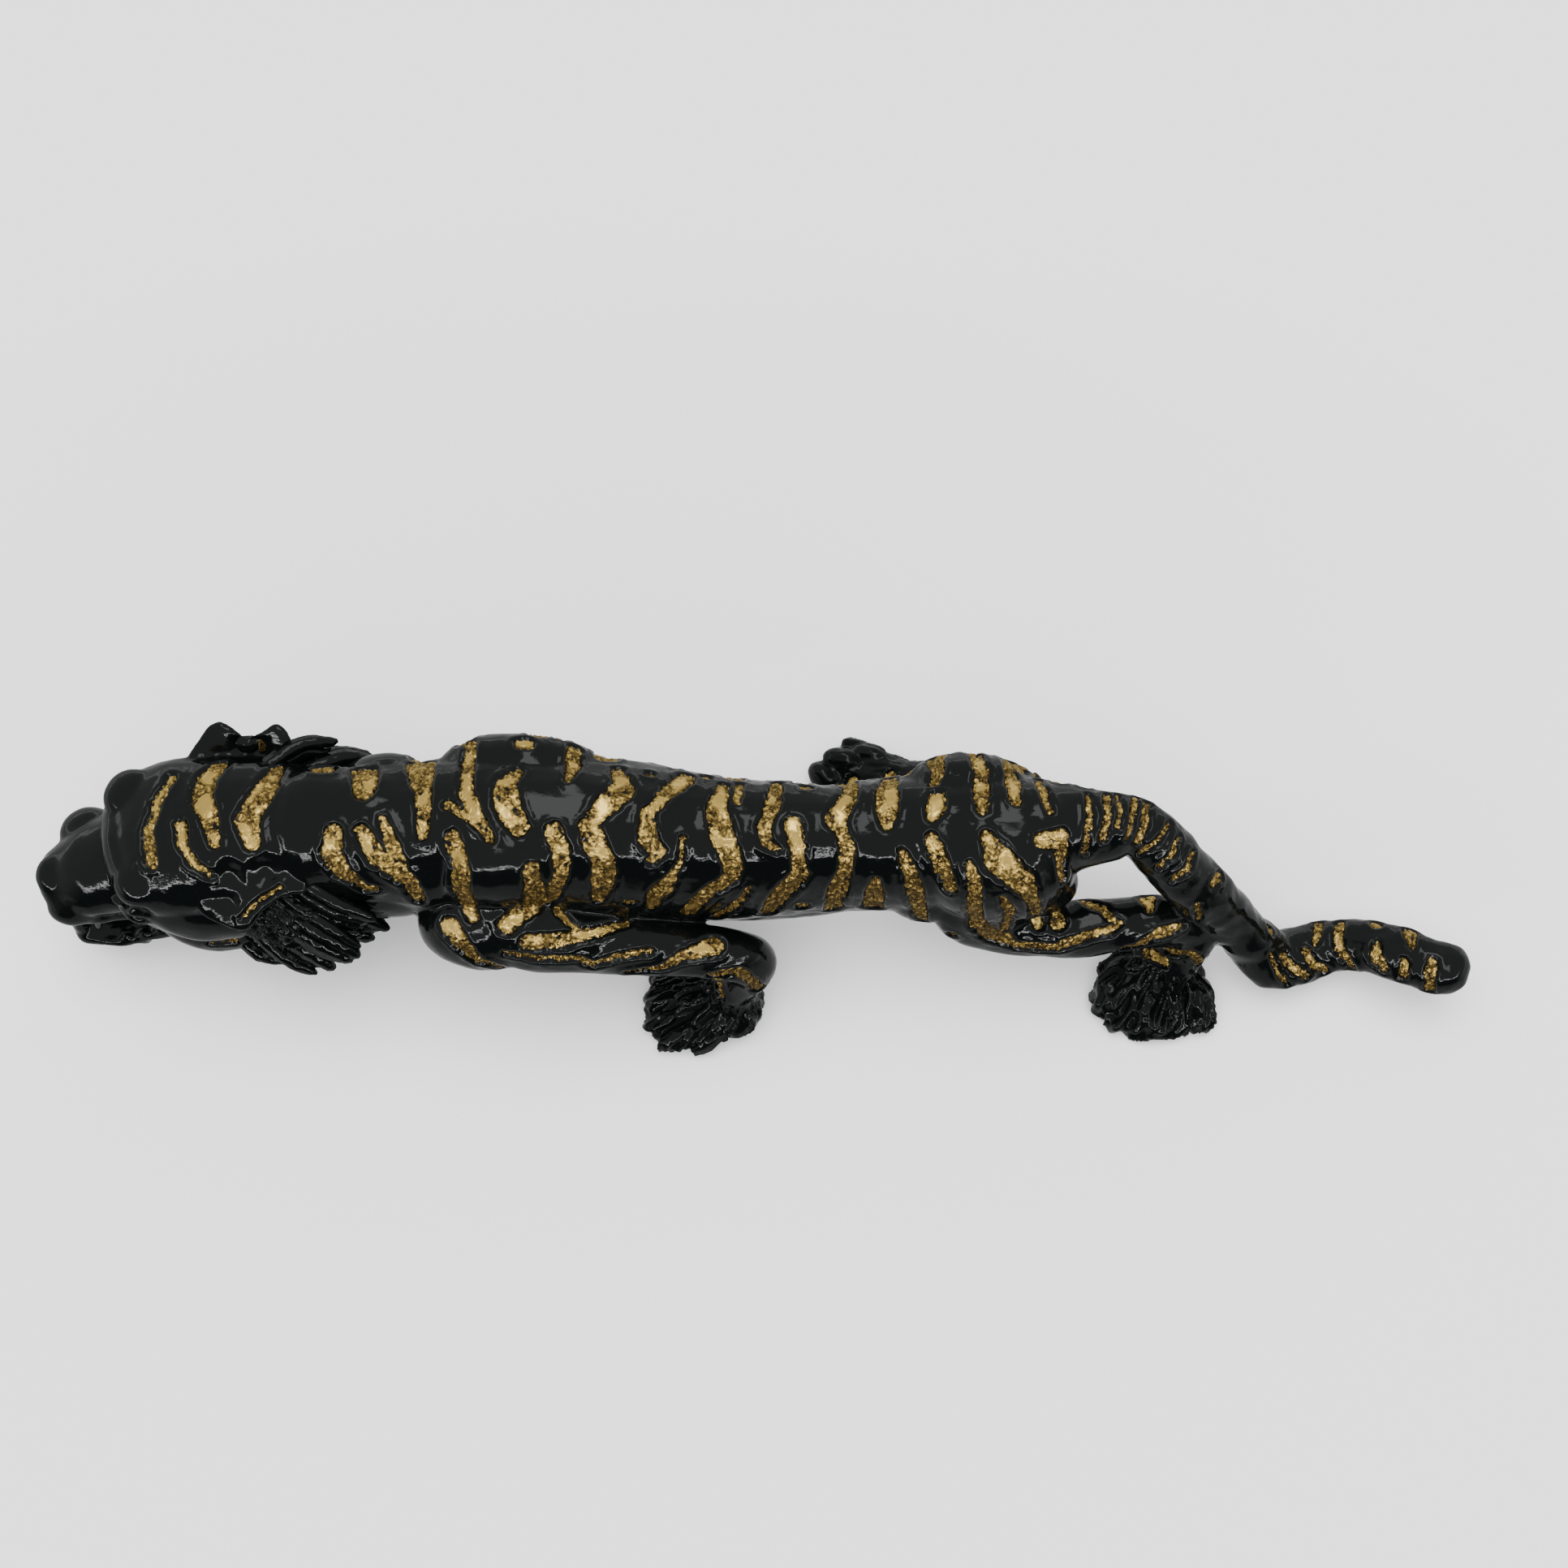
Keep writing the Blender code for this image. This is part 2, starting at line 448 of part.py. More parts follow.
def stripe_places(skin):
    """Round dabs along every stripe: place and radius."""
    view = Vector((0, -math.cos(SIGHT_TILT), math.sin(SIGHT_TILT)))
    dabs = []
    for points, widths in STRIPES:
        stops = [k / (len(widths) - 1) if len(widths) > 1 else 0 for k in range(len(widths))]
        lengths = [0]
        for a, b in zip(points, points[1:]):
            lengths.append(lengths[-1] + math.dist(a, b))
        count = max(2, math.ceil(lengths[-1] * PICTURE_PIXEL / STROKE_STEP))
        for k in range(count + 1):
            t = k / count
            run = t * lengths[-1]
            pixel = (np.interp(run, lengths, [p[0] for p in points]),
                     np.interp(run, lengths, [p[1] for p in points]))
            radius = np.interp(t, stops, widths) / 2 * PICTURE_PIXEL
            for mirrored in (False, True):
                place, direction = sighted(skin, pixel, mirrored)
                if place is None:
                    continue
                if mirrored and direction.dot(view) > HIDDEN_SIDE:
                    continue
                dabs.append((place, radius))
    return dabs


def press(mesh):
    """Presses the hollows and the stripes into the skin."""
    count = len(mesh.vertices)
    places = np.empty(count * 3)
    mesh.vertices.foreach_get("co", places)
    places = places.reshape(-1, 3)
    ways = np.array([v.normal for v in mesh.vertices])
    for centre, radius, depth in HOLLOWS:
        gap = np.linalg.norm(places - np.array(centre) * MM, axis=1) / (radius * MM)
        places -= ways * (np.clip(1 - gap ** 2, 0, 1) ** 2 * depth * MM)[:, None]
    mesh.vertices.foreach_set("co", places.ravel())
    mesh.update()
    corners = [v.co.copy() for v in mesh.vertices]
    skin = BVHTree.FromPolygons(corners, [tuple(p.vertices) for p in mesh.polygons])
    dabs = stripe_places(skin)
    tree = KDTree(len(dabs))
    for k, (place, _) in enumerate(dabs):
        tree.insert(place, k)
    tree.balance()
    widest = max(radius for _, radius in dabs)
    for k, corner in enumerate(corners):
        edge = min((gap - dabs[n][1] for _, n, gap in tree.find_range(corner, widest + STRIPE_EDGE)),
                   default=STRIPE_EDGE)
        share = min(max(0.5 - edge / STRIPE_EDGE, 0), 1)
        places[k] -= ways[k] * STRIPE_DEPTH * share * share * (3 - 2 * share)
    mesh.vertices.foreach_set("co", places.ravel())
    mesh.update()


def flat_soles(mesh):
    """Cuts the paws flat at the floor and centres the casting on it."""
    bm = bmesh.new()
    bm.from_mesh(mesh)
    cut = bmesh.ops.bisect_plane(bm, geom=bm.verts[:] + bm.edges[:] + bm.faces[:], dist=1e-6,
                                 plane_co=(0, 0, FLOOR_CUT), plane_no=(0, 0, -1), clear_outer=True)
    rim = [e for e in cut["geom_cut"] if isinstance(e, bmesh.types.BMEdge)]
    bmesh.ops.holes_fill(bm, edges=rim, sides=0)
    bmesh.ops.triangulate(bm, faces=bm.faces[:])
    bmesh.ops.recalc_face_normals(bm, faces=bm.faces[:])
    xs = [v.co.x for v in bm.verts]
    ys = [v.co.y for v in bm.verts]
    bmesh.ops.translate(bm, verts=bm.verts[:], vec=(-(min(xs) + max(xs)) / 2, -(min(ys) + max(ys)) / 2, 0))
    bm.to_mesh(mesh)
    bm.free()


def tiger():
    """The whole casting as one object."""
    clay = sketch()
    clay.data = settled(clay, [("REMESH", {"mode": "VOXEL", "voxel_size": VOXEL}),
                               ("SMOOTH", {"factor": 0.5, "iterations": SOFTENING_PASSES})])
    press(clay.data)
    share = TRIANGLES / (2 * len(clay.data.polygons))
    clay.data = settled(clay, [("TRIANGULATE", {}), ("DECIMATE", {"ratio": share})])
    flat_soles(clay.data)
    clay.name = "tiger"
    clay.data.name = "tiger"
    clay.data.materials.clear()
    clay.data.materials.append(material("black_gloss_resin", (0.012, 0.012, 0.013), 0.08, 0))
    return clay


for old in list(bpy.data.objects):
    bpy.data.objects.remove(old)
tiger()
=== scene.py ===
import math

import bmesh
import bpy
import numpy as np
from mathutils import Matrix, Vector, noise
from mathutils.bvhtree import BVHTree
from mathutils.kdtree import KDTree


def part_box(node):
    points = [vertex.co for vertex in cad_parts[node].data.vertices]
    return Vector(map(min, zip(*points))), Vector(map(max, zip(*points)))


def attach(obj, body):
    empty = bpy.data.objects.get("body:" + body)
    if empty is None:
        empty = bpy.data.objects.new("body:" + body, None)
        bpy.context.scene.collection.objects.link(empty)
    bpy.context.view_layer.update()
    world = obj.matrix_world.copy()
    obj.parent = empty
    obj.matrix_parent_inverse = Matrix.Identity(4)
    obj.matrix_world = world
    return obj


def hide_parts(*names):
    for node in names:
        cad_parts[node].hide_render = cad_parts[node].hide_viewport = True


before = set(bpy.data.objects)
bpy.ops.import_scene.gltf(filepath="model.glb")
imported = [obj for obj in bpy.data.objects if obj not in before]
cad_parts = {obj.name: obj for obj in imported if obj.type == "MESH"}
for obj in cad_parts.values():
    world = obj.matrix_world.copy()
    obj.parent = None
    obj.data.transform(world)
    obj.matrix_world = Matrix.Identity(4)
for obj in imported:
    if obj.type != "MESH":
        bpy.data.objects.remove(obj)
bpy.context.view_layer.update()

# Prowling tiger, about half a metre from nose to tail tip, cast in one piece.
# Places are in millimetres in the sculptor's own frame, and the pour sets them down where
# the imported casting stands, centred on its own box.
MM = 0.001


# The clay
# The whole animal is laid up from rounded limbs and lumps of clay, then fused and smoothed.
# It becomes the casting, one thick pour of resin from the lips to the tail tip.

# Body, from haunch to neck: x, y, z, half-width and half-height
TORSO = [
    (122, -1, 89, 12, 12.5), (112, -1, 88, 14, 16), (98, -1, 85, 18, 23), (80, -1, 80, 22.5, 29),
    (55, -1.5, 75.5, 22, 29), (30, -2.2, 73, 20.5, 29), (17, -2.5, 72.5, 21.5, 30.5), (-3, -2.5, 72, 23, 32),
    (-25, -2, 73.5, 24.5, 33.5), (-50, -0.5, 76, 27, 36), (-85, 0, 79, 27, 35), (-112, -0.5, 80, 25.5, 28),
    (-130, -1, 82, 23.5, 25.5), (-150, 0, 82, 23, 24),
]
SKULL = [
    (-140, 1, 82, 20, 20), (-160, 0.5, 81, 25, 21), (-180, 0, 79, 28, 21), (-196, 0, 77, 28.5, 19.5),
    (-207, -1, 75.5, 27, 16), (-212, -2, 74, 24.5, 13),
]
MUZZLE = [
    (-196, 0, 63, 21.5, 17), (-212, -0.5, 60, 19.5, 14), (-224, -2, 56.5, 18, 12.5),
    (-234, -4, 53, 16.5, 11), (-243, -6, 50, 12.5, 8.5),
]
JAW = [
    (-184, -1.5, 46, 17, 11), (-200, -2.5, 36, 16, 8), (-216, -4.5, 28, 15, 6.5),
    (-230, -6.5, 23.5, 14.3, 6), (-239.5, -7.5, 22, 12, 5.5),
]
TAIL = [
    (104, -0.5, 90, 13.2, 13.5), (113, 0.6, 90, 11.2, 11.5), (122, 1.3, 89, 10, 10), (131, 0, 87.5, 9.9, 9.9),
    (143, -7, 77, 10.7, 10.7), (152, -11.7, 65, 10.4, 10.4), (165, -15.6, 46, 9.6, 9.6),
    (176.5, -19.8, 28, 9.5, 9.5), (186, -23.2, 16.5, 10.3, 10.3), (195, -22, 13.8, 10.4, 10.4),
    (203, -19.5, 14.5, 9.7, 9.7), (211, -18.8, 17.5, 9.2, 9.2), (219, -20.3, 21.5, 9, 9),
    (228, -24, 25, 9.3, 9.3), (237, -28, 27, 9.6, 9.6), (246.5, -31.5, 28, 9.2, 9.2),
]
NEAR_FRONT_LEG = [
    (-92, -21, 74, 14, 17), (-78, -29.5, 68, 14, 16), (-60, -31.5, 65, 12.5, 14), (-40, -33, 60, 10.5, 12),
    (-20, -34, 56, 9.5, 11), (-6, -34, 50, 9, 10.5), (0, -33.5, 42, 9, 9), (-2, -34, 32, 8.5, 8),
    (-6, -35, 22, 9, 8), (-7, -37, 13, 10.5, 9),
]
FAR_FRONT_LEG = [
    (-84, 19, 80, 13, 18), (-95, 23, 66, 12, 15), (-106, 25, 53, 10.5, 12), (-122, 24.5, 42, 9.5, 10),
    (-138, 22.5, 31, 9, 9), (-151, 20.5, 21, 9, 8.5), (-160, 19, 13, 10, 9),
]
NEAR_HIND_LEG = [
    (90, -11, 82, 13, 22), (82, -15, 67, 14, 20), (77, -19, 55, 12, 14), (92, -21.5, 48, 10.5, 12),
    (112, -23, 47, 10, 11), (131, -21, 47, 9.6, 10), (149, -19.5, 44.5, 8.8, 9.5), (156, -20, 36, 8.8, 9),
    (153, -23, 24, 9, 8.5), (146, -26, 14, 12, 9.5),
]
FAR_HIND_LEG = [
    (86, 12, 82, 14, 21), (76, 17, 68, 13.5, 18), (67, 23, 56, 11, 14), (70, 30, 46, 9.5, 11),
    (79, 36, 36, 9, 9.5), (80, 40, 27, 8.5, 8.5), (70, 43, 18, 9, 8.5), (58, 45, 12, 10, 9),
]
# Muscle and fluff: centre, radii, and turn about the upright in degrees
LUMPS = {
    "near shoulder blade": ((-82, -15, 88), (26, 14, 22), 8),
    "far shoulder blade": ((-77, 17.5, 87), (32, 14, 23), -4),
    "near point of shoulder": ((-92, -26, 66), (23, 17.5, 19), 0),
    "near haunch": ((84, -13, 80), (27, 17, 26), 0),
    "near buttock": ((98, -13, 68), (15, 10, 17), 0),
    "far haunch": ((74, 12, 81), (24, 15, 25), 0),
    "near thigh": ((80, -18, 62), (17, 12, 18), 0),
    "chest": ((-112, -2, 66), (24, 22, 22), 0),
    "near side of the neck": ((-124, -15, 72), (20, 11, 17), 0),
    "far side of the neck": ((-125, 15, 81), (19, 12.5, 17), 0),
    "near fold of the flank": ((63, -13, 65), (19, 12, 16), 0),
    "near cheek": ((-188, -19.5, 67), (24, 13.5, 16), -6),
    "near cheekbone": ((-203, -23, 62.5), (14, 5.5, 5), -22),
    "far cheek": ((-187, 17, 68), (24, 13, 17), 6),
    "far cheekbone": ((-204, 21, 64.5), (14, 5.5, 5), 20),
    "near jowl": ((-188, -18, 50), (22, 13, 13), -4),
    "far jowl": ((-190, 16, 53), (21, 11, 12), 4),
    "near ruff": ((-156, -20, 66), (22, 15, 19), 0),
    "far ruff": ((-156, 18, 68), (22, 15, 19), 0),
    "near whisker pad": ((-236, -12.5, 48), (12, 9, 9), 18),
    "far whisker pad": ((-232, 10.5, 51), (12.5, 10, 10), -8),
    "nose": ((-245, -6, 54.5), (6, 7.5, 5.5), 12),
    "near brow": ((-207, -17, 80), (11, 9.5, 7), 14),
    "far brow": ((-212.5, 13, 82), (10.5, 10, 7), -14),
    "near eye": ((-212.5, -20.5, 69.5), (5.2, 4.4, 4.6), 0),
    "far eye": ((-216, 15.8, 71.5), (5.2, 4.4, 4.6), 0),
    "chin": ((-238, -7.5, 20), (8, 9, 6), 8),
    "tongue": ((-212, -2.5, 35), (20, 8, 5), 8),
    "belly": ((0, -4, 62), (58, 20, 19), 0),
}
# Ears, laid flat in anger: pairs of a root on the skull and the rim beyond it, from front to back
NEAR_EAR = [
    ((-185, -24, 84), (-184.5, -29, 82)), ((-178, -21, 88), (-178, -32, 80)),
    ((-169, -18, 91), (-171.5, -34, 80)), ((-162, -16, 92), (-165.5, -27.5, 84.5)),
    ((-156, -16, 91), (-160, -25, 88)), ((-151, -17, 87), (-152.5, -24, 88.5)),
]
FAR_EAR = [
    ((-191, 22, 82), (-192, 28, 86)), ((-184, 25, 80), (-184.5, 35.5, 91)),
    ((-176, 25, 80), (-176.5, 32.5, 89.5)), ((-168, 25, 80), (-168, 32, 90.5)),
    ((-161, 24, 82), (-162.5, 34, 93)), ((-156, 22, 82), (-158.5, 28, 90)),
]
# Hollows pressed in with a round tool: centre, radius, depth
HOLLOWS = [
    ((-216, -24, 74.5), 6, 2.4), ((-219.5, 19, 76.5), 6, 2.4), ((-221, -20.5, 66), 5, 2),
    ((-224, 15, 68), 5, 2), ((-172, 27, 91), 8, 3),
    ((-251, -9, 53), 3, 1.8), ((-251, -3, 53), 3, 1.8),
]
# Paws: wrist end and toe end on the floor, half-width, height of the instep, and how far the toes step back
PAWS = {
    "near_front": ((-6, -36.5), (-32, -40), 14.5, 17, 0),
    "far_front": ((-158, 19), (-184, 16), 13.5, 17, 0),
    "near_hind": ((143, -26), (144.5, -43.5), 20, 17, 9),
    "far_hind": ((57, 43), (32, 54.5), 12.5, 17, 0),
}
TOES = 4
TOE_SHARE = 0.3
# Round toes of the far hind paw: centre, radii and turn
FAR_TOES = [
    ((44, 57, 9.5), (8.5, 5.2, 7), -25), ((34, 55, 9.5), (8.5, 5.0, 7), -30),
    ((26.5, 50, 8), (7.5, 4.6, 6), -40),
]
# Teeth: root, middle and tip, then the root's half-width
CANINES = [
    ((-230, -15.5, 46), (-231, -17, 39), (-232, -18, 32), 3.8),
    ((-228, 9.5, 47), (-229, 10.5, 40), (-230, 11, 33), 3.8),
    ((-238.5, -14, 21), (-239.5, -15, 28.5), (-239.5, -15.5, 36), 3.5),
    ((-237.5, 0.5, 21), (-238.5, 1, 28.5), (-238.5, 1.2, 36), 3.5),
]
# Back teeth: root, height, and 1 for the lower jaw or -1 for the upper
CHEEK_TEETH = [
    ((-223, -19.5, 24), 5.4, 1), ((-216.5, -19.5, 27), 5.6, 1), ((-210, -18.5, 31), 5, 1),
    ((-222, 8.5, 25), 5.4, 1), ((-215.5, 9.5, 28), 5.6, 1), ((-209, 11, 32), 5, 1),
    ((-223.5, -16, 51), 6.5, -1), ((-217, -16.5, 53), 6.5, -1), ((-210.5, -17, 54.5), 6, -1),
    ((-221.5, 11.5, 52), 6.5, -1), ((-215, 12.5, 54), 6.5, -1), ((-209, 13.5, 55), 6, -1),
]
# Lips, ear rims, the bridge of the nose and eyelids: rolls of clay, x, y, z and half-width
ROLLS = [
    [(-241, -13, 42.5, 1.6), (-233, -18, 43.5, 2.2), (-223, -18, 48.5, 2.2), (-212, -18.5, 52.5, 2.2),
     (-203.5, -19, 53.5, 2.2), (-199, -19.5, 47, 2.4), (-203, -19.5, 38, 2.2), (-214, -19.5, 31.5, 2.0),
     (-226, -20.5, 26.5, 2.0), (-237, -18, 23.5, 1.6)],
    [(-239, 6, 44, 1.6), (-231, 11.5, 45, 2.2), (-221, 13.5, 49.5, 2.2), (-211, 15, 53.5, 2.2),
     (-203, 16, 54.5, 2.2), (-198.5, 16, 47, 2.4), (-202, 13.5, 38, 2.2), (-213, 10.5, 31.5, 2.0),
     (-225, 8, 26.5, 2.0), (-236, 3.5, 23.5, 1.6)],
    [(-187, -27, 83.5, 0.9), (-184.5, -29.5, 82, 1.3), (-178, -32.5, 80.5, 1.4), (-171.5, -34, 80.5, 1.4),
     (-165.5, -28.5, 84.5, 1.3), (-160, -25.5, 88, 1.3), (-152.5, -24, 89, 1.1)],
    [(-193, 27, 86.5, 0.9), (-184.5, 35.5, 91.5, 1.4), (-176.5, 32.5, 90.5, 1.3), (-168, 32, 91.5, 1.3),
     (-162.5, 34, 93.5, 1.5), (-157.5, 28, 90.5, 1.0)],
    [(-204, -1.8, 69, 7.5), (-214, -2.6, 66, 7.5), (-224, -3.6, 61.8, 7.2), (-237, -5.2, 56, 6.2)],
    [(-219.5, -19.5, 70.5, 1.0), (-216, -24, 73.2, 1.5), (-211, -26.2, 73.8, 1.7), (-206, -26, 70.5, 1.2)],
    [(-218.5, -20, 68.5, 0.9), (-214, -24.6, 65.8, 1.3), (-209, -26.4, 66.2, 1.3), (-205, -26, 68.8, 1.0)],
    [(-222.5, 15, 72.5, 1.0), (-219, 19.5, 75.2, 1.5), (-214, 21.8, 75.8, 1.7), (-209, 21.8, 72.5, 1.2)],
    [(-221.5, 15.5, 70.5, 0.9), (-217, 20, 67.8, 1.3), (-212, 22, 68.2, 1.3), (-208, 21.8, 70.8, 1.0)],
]
# Smaller hollows of the ears, the upper lip and the near hind paw
FINE_HOLLOWS = [
    ((-176, -19, 92), 8, 3.4), ((-164, -17, 93), 8, 3.2), ((-158, -25, 83), 4.5, 3.6),
    ((-177, -27, 87), 6, 2.0), ((-175, 29, 89), 7, 2.6),
    ((-251, -6.2, 46), 3, 1.6), ((-250, -6.6, 41), 3, 1.6),
    ((121, -48, 13), 12, 5.0), ((130, -56, 16), 6, 2.4),
]
EAR_THICKNESS = 2.6
EAR_STRIP = 2.2
EAR_ARCH = 1.8

RING_POINTS = 28
RING_STEP = 2.0
CAP_RINGS = 5
CAP_REACH = 0.9


def smooth_path(stations):
    """Stations as rings a few millimetres apart, along a Catmull-Rom curve."""
    points = [np.array(s, dtype=float) for s in stations]
    ends = [2 * points[0] - points[1]] + points + [2 * points[-1] - points[-2]]
    path = []
    for a, b, c, d in zip(ends, ends[1:], ends[2:], ends[3:]):
        steps = max(1, round(np.linalg.norm(c[:3] - b[:3]) / RING_STEP))
        for k in range(steps):
            t = k / steps
            path.append(0.5 * (2 * b + (c - a) * t + (2 * a - 5 * b + 4 * c - d) * t ** 2
                               + (3 * b - a - 3 * c + d) * t ** 3))
    path.append(points[-1])
    return path


def limb(bm, stations, side=(0, 1, 0)):
    """A closed rounded limb of oval rings, whose half-widths lie along side."""
    path = smooth_path(stations)
    side = Vector(side)
    rings = []
    for k, (x, y, z, width, height) in enumerate(path):
        before = path[max(k - 1, 0)][:3]
        after = path[min(k + 1, len(path) - 1)][:3]
        along = Vector(after - before).normalized()
        across = (side - along * side.dot(along)).normalized()
        rings.append((Vector((x, y, z)), along, across, along.cross(across), width, height))
    caps = []
    for sign, (centre, along, across, up, width, height) in ((-1, rings[0]), (1, rings[-1])):
        cap = []
        for k in range(1, CAP_RINGS):
            angle = k / CAP_RINGS * math.pi / 2
            reach = min(width, height) * CAP_REACH * math.sin(angle)
            cap.append((centre + along * sign * reach, along, across, up,
                        width * math.cos(angle), height * math.cos(angle)))
        caps.append(cap)
    loops = []
    for centre, _, across, up, width, height in caps[0][::-1] + rings + caps[1]:
        loop = []
        for k in range(RING_POINTS):
            angle = 2 * math.pi * k / RING_POINTS
            place = centre + across * width * math.cos(angle) + up * height * math.sin(angle)
            loop.append(bm.verts.new(place * MM))
        loops.append(loop)
    for first, second in zip(loops, loops[1:]):
        for k in range(RING_POINTS):
            n = (k + 1) % RING_POINTS
            bm.faces.new((first[k], first[n], second[n], second[k]))
    bm.faces.new(loops[0][::-1])
    bm.faces.new(loops[-1])


def lump(bm, centre, radii, turn=0):
    """An egg-shaped lump of clay."""
    place = (Matrix.Translation(Vector(centre) * MM) @ Matrix.Rotation(math.radians(turn), 4, "Z")
             @ Matrix.Diagonal((*(Vector(radii) * MM), 1)))
    bmesh.ops.create_icosphere(bm, subdivisions=4, radius=1, matrix=place)


def ear(bm, pairs):
    """A laid-back ear: strips side by side, each arching from its root on the skull to the rim."""
    strips = [np.array(strip) for strip in smooth_path([(*root, *rim) for root, rim in pairs])]
    for k, strip in enumerate(strips):
        root, rim = strip[:3], strip[3:]
        edge_way = strips[min(k + 1, len(strips) - 1)][3:] - strips[max(k - 1, 0)][3:]
        crest = (root + rim) / 2 + np.array((0, 0, EAR_ARCH))
        limb(bm, [(*place, EAR_STRIP, EAR_THICKNESS / 2) for place in (root, crest, rim)], edge_way)


def paw_lines(wrist, toe_end):
    """A paw's wrist and toe end on the floor, the ways ahead and across, and its reach."""
    wrist = Vector((*wrist, 0))
    toe_end = Vector((*toe_end, 0))
    ahead = (toe_end - wrist).normalized()
    return wrist, toe_end, ahead, Vector((-ahead.y, ahead.x, 0)), (toe_end - wrist).length


def paw(bm, wrist, toe_end, half_width, instep, step_back):
    """A broad paw with toes that spread from the wrist."""
    wrist, toe_end, ahead, across, reach = paw_lines(wrist, toe_end)
    middle = wrist + ahead * reach * 0.45
    limb(bm, [(wrist.x, wrist.y, instep * 0.62, half_width * 0.92, instep * 0.62),
              (middle.x, middle.y, instep * 0.46, half_width, instep * 0.52),
              (toe_end.x, toe_end.y, 5, half_width * 0.86, 6.2)], across)
    toe = half_width * TOE_SHARE
    for k in range(TOES):
        spread = (k / (TOES - 1) - 0.5) * 2
        root = wrist + ahead * reach * 0.5 + across * spread * half_width * 0.62
        tip = toe_end + ahead * (4.5 - 4 * spread ** 2) + across * spread * half_width * 0.82
        tip -= ahead * step_back * (1 - spread) / 2
        middle = (root + tip) / 2
        limb(bm, [(root.x, root.y, 8.5, toe, toe + 1), (middle.x, middle.y, 8, toe, toe + 1),
                  (tip.x, tip.y, 4.6, toe * 0.85, 4.6)], across)


def on_bench(name, data):
    """An object with this data, put into the scene."""
    made = bpy.data.objects.new(name, data)
    bpy.context.scene.collection.objects.link(made)
    return made


def as_object(bm, name):
    """A finished sheet or body of clay as an object in the scene."""
    mesh = bpy.data.meshes.new(name)
    bm.to_mesh(mesh)
    bm.free()
    return on_bench(name, mesh)


def settle(made, modifiers):
    """Bakes modifiers, each a kind and its settings, into the object's own mesh."""
    for kind, settings in modifiers:
        modifier = made.modifiers.new(kind.title(), kind)
        for key, value in settings.items():
            setattr(modifier, key, value)
    view = bpy.context.evaluated_depsgraph_get()
    mesh = bpy.data.meshes.new_from_object(made.evaluated_get(view))
    made.modifiers.clear()
    made.data = mesh


def corners_of(mesh):
    """The mesh's corners as an array."""
    places = np.empty(len(mesh.vertices) * 3)
    mesh.vertices.foreach_get("co", places)
    return places.reshape(-1, 3)


def ways_of(mesh):
    """The direction that the skin faces at each corner."""
    ways = np.empty(len(mesh.vertices) * 3)
    mesh.vertex_normals.foreach_get("vector", ways)
    return ways.reshape(-1, 3)


def note(mesh, name, values):
    """Keeps one number for each of the mesh's corners."""
    mesh.attributes.new(name, "FLOAT", "POINT").data.foreach_set("value", values)


def noted(mesh, name):
    """The numbers kept for the mesh's corners."""
    values = np.empty(len(mesh.vertices))
    mesh.attributes[name].data.foreach_get("value", values)
    return values


def put_corners(mesh, places):
    """Moves the mesh's corners to these places."""
    mesh.vertices.foreach_set("co", places.ravel())
    mesh.update()


CLAY_GRAIN = 0.8 * MM
CLAY_RUBS = 14
clay = bmesh.new()
for stations in (TORSO, SKULL, MUZZLE, JAW, TAIL, NEAR_FRONT_LEG, FAR_FRONT_LEG, NEAR_HIND_LEG, FAR_HIND_LEG):
    limb(clay, stations)
for centre, radii, turn in LUMPS.values():
    lump(clay, centre, radii, turn)
for pairs in (NEAR_EAR, FAR_EAR):
    ear(clay, pairs)
for size in PAWS.values():
    paw(clay, *size)
for centre, radii, turn in FAR_TOES:
    lump(clay, centre, radii, turn)
for root, middle, tip, width in CANINES:
    limb(clay, [(*root, width * 0.75, width), (*middle, width * 0.55, width * 0.7), (*tip, 0.7, 0.8)])
for (x, y, z), height, rise in CHEEK_TEETH:
    limb(clay, [(x, y, z, 2.0, 2.6), (x, y, z + rise * height, 1.4, 1.8),
                (x, y, z + rise * height * 1.7, 0.5, 0.5)])
for roll in ROLLS:
    limb(clay, [(x, y, z, half, half) for x, y, z, half in roll])
bmesh.ops.recalc_face_normals(clay, faces=clay.faces[:])
tiger = as_object(clay, "casting")
settle(tiger, [("REMESH", {"mode": "VOXEL", "voxel_size": CLAY_GRAIN}),
               ("SMOOTH", {"factor": 0.5, "iterations": CLAY_RUBS})])

places = corners_of(tiger.data)
ways = ways_of(tiger.data)
for centre, radius, depth in HOLLOWS + FINE_HOLLOWS:
    gap = np.linalg.norm(places - np.array(centre) * MM, axis=1) / (radius * MM)
    places -= ways * (np.clip(1 - gap ** 2, 0, 1) ** 2 * depth * MM)[:, None]
put_corners(tiger.data, places)


# The stripes
# Each stripe is a groove pressed in by hand, with a low lip where the clay was pushed aside.
# The strokes are sighted on the skin from where the photographer stood, and the far side, which the
# picture doesn't show, gets the mirror image of the near one.

SIGHT_TILT = math.radians(68)
SIGHT_DISTANCE = 1100 * MM
PICTURE_PIXEL = 0.2831 * MM
PICTURE_SIZE = 1932
SIGHT_AIM = Vector((11.2, 22.65, 70.0)) * MM
TOWARDS_EYE = Vector((0, -math.cos(SIGHT_TILT), math.sin(SIGHT_TILT)))

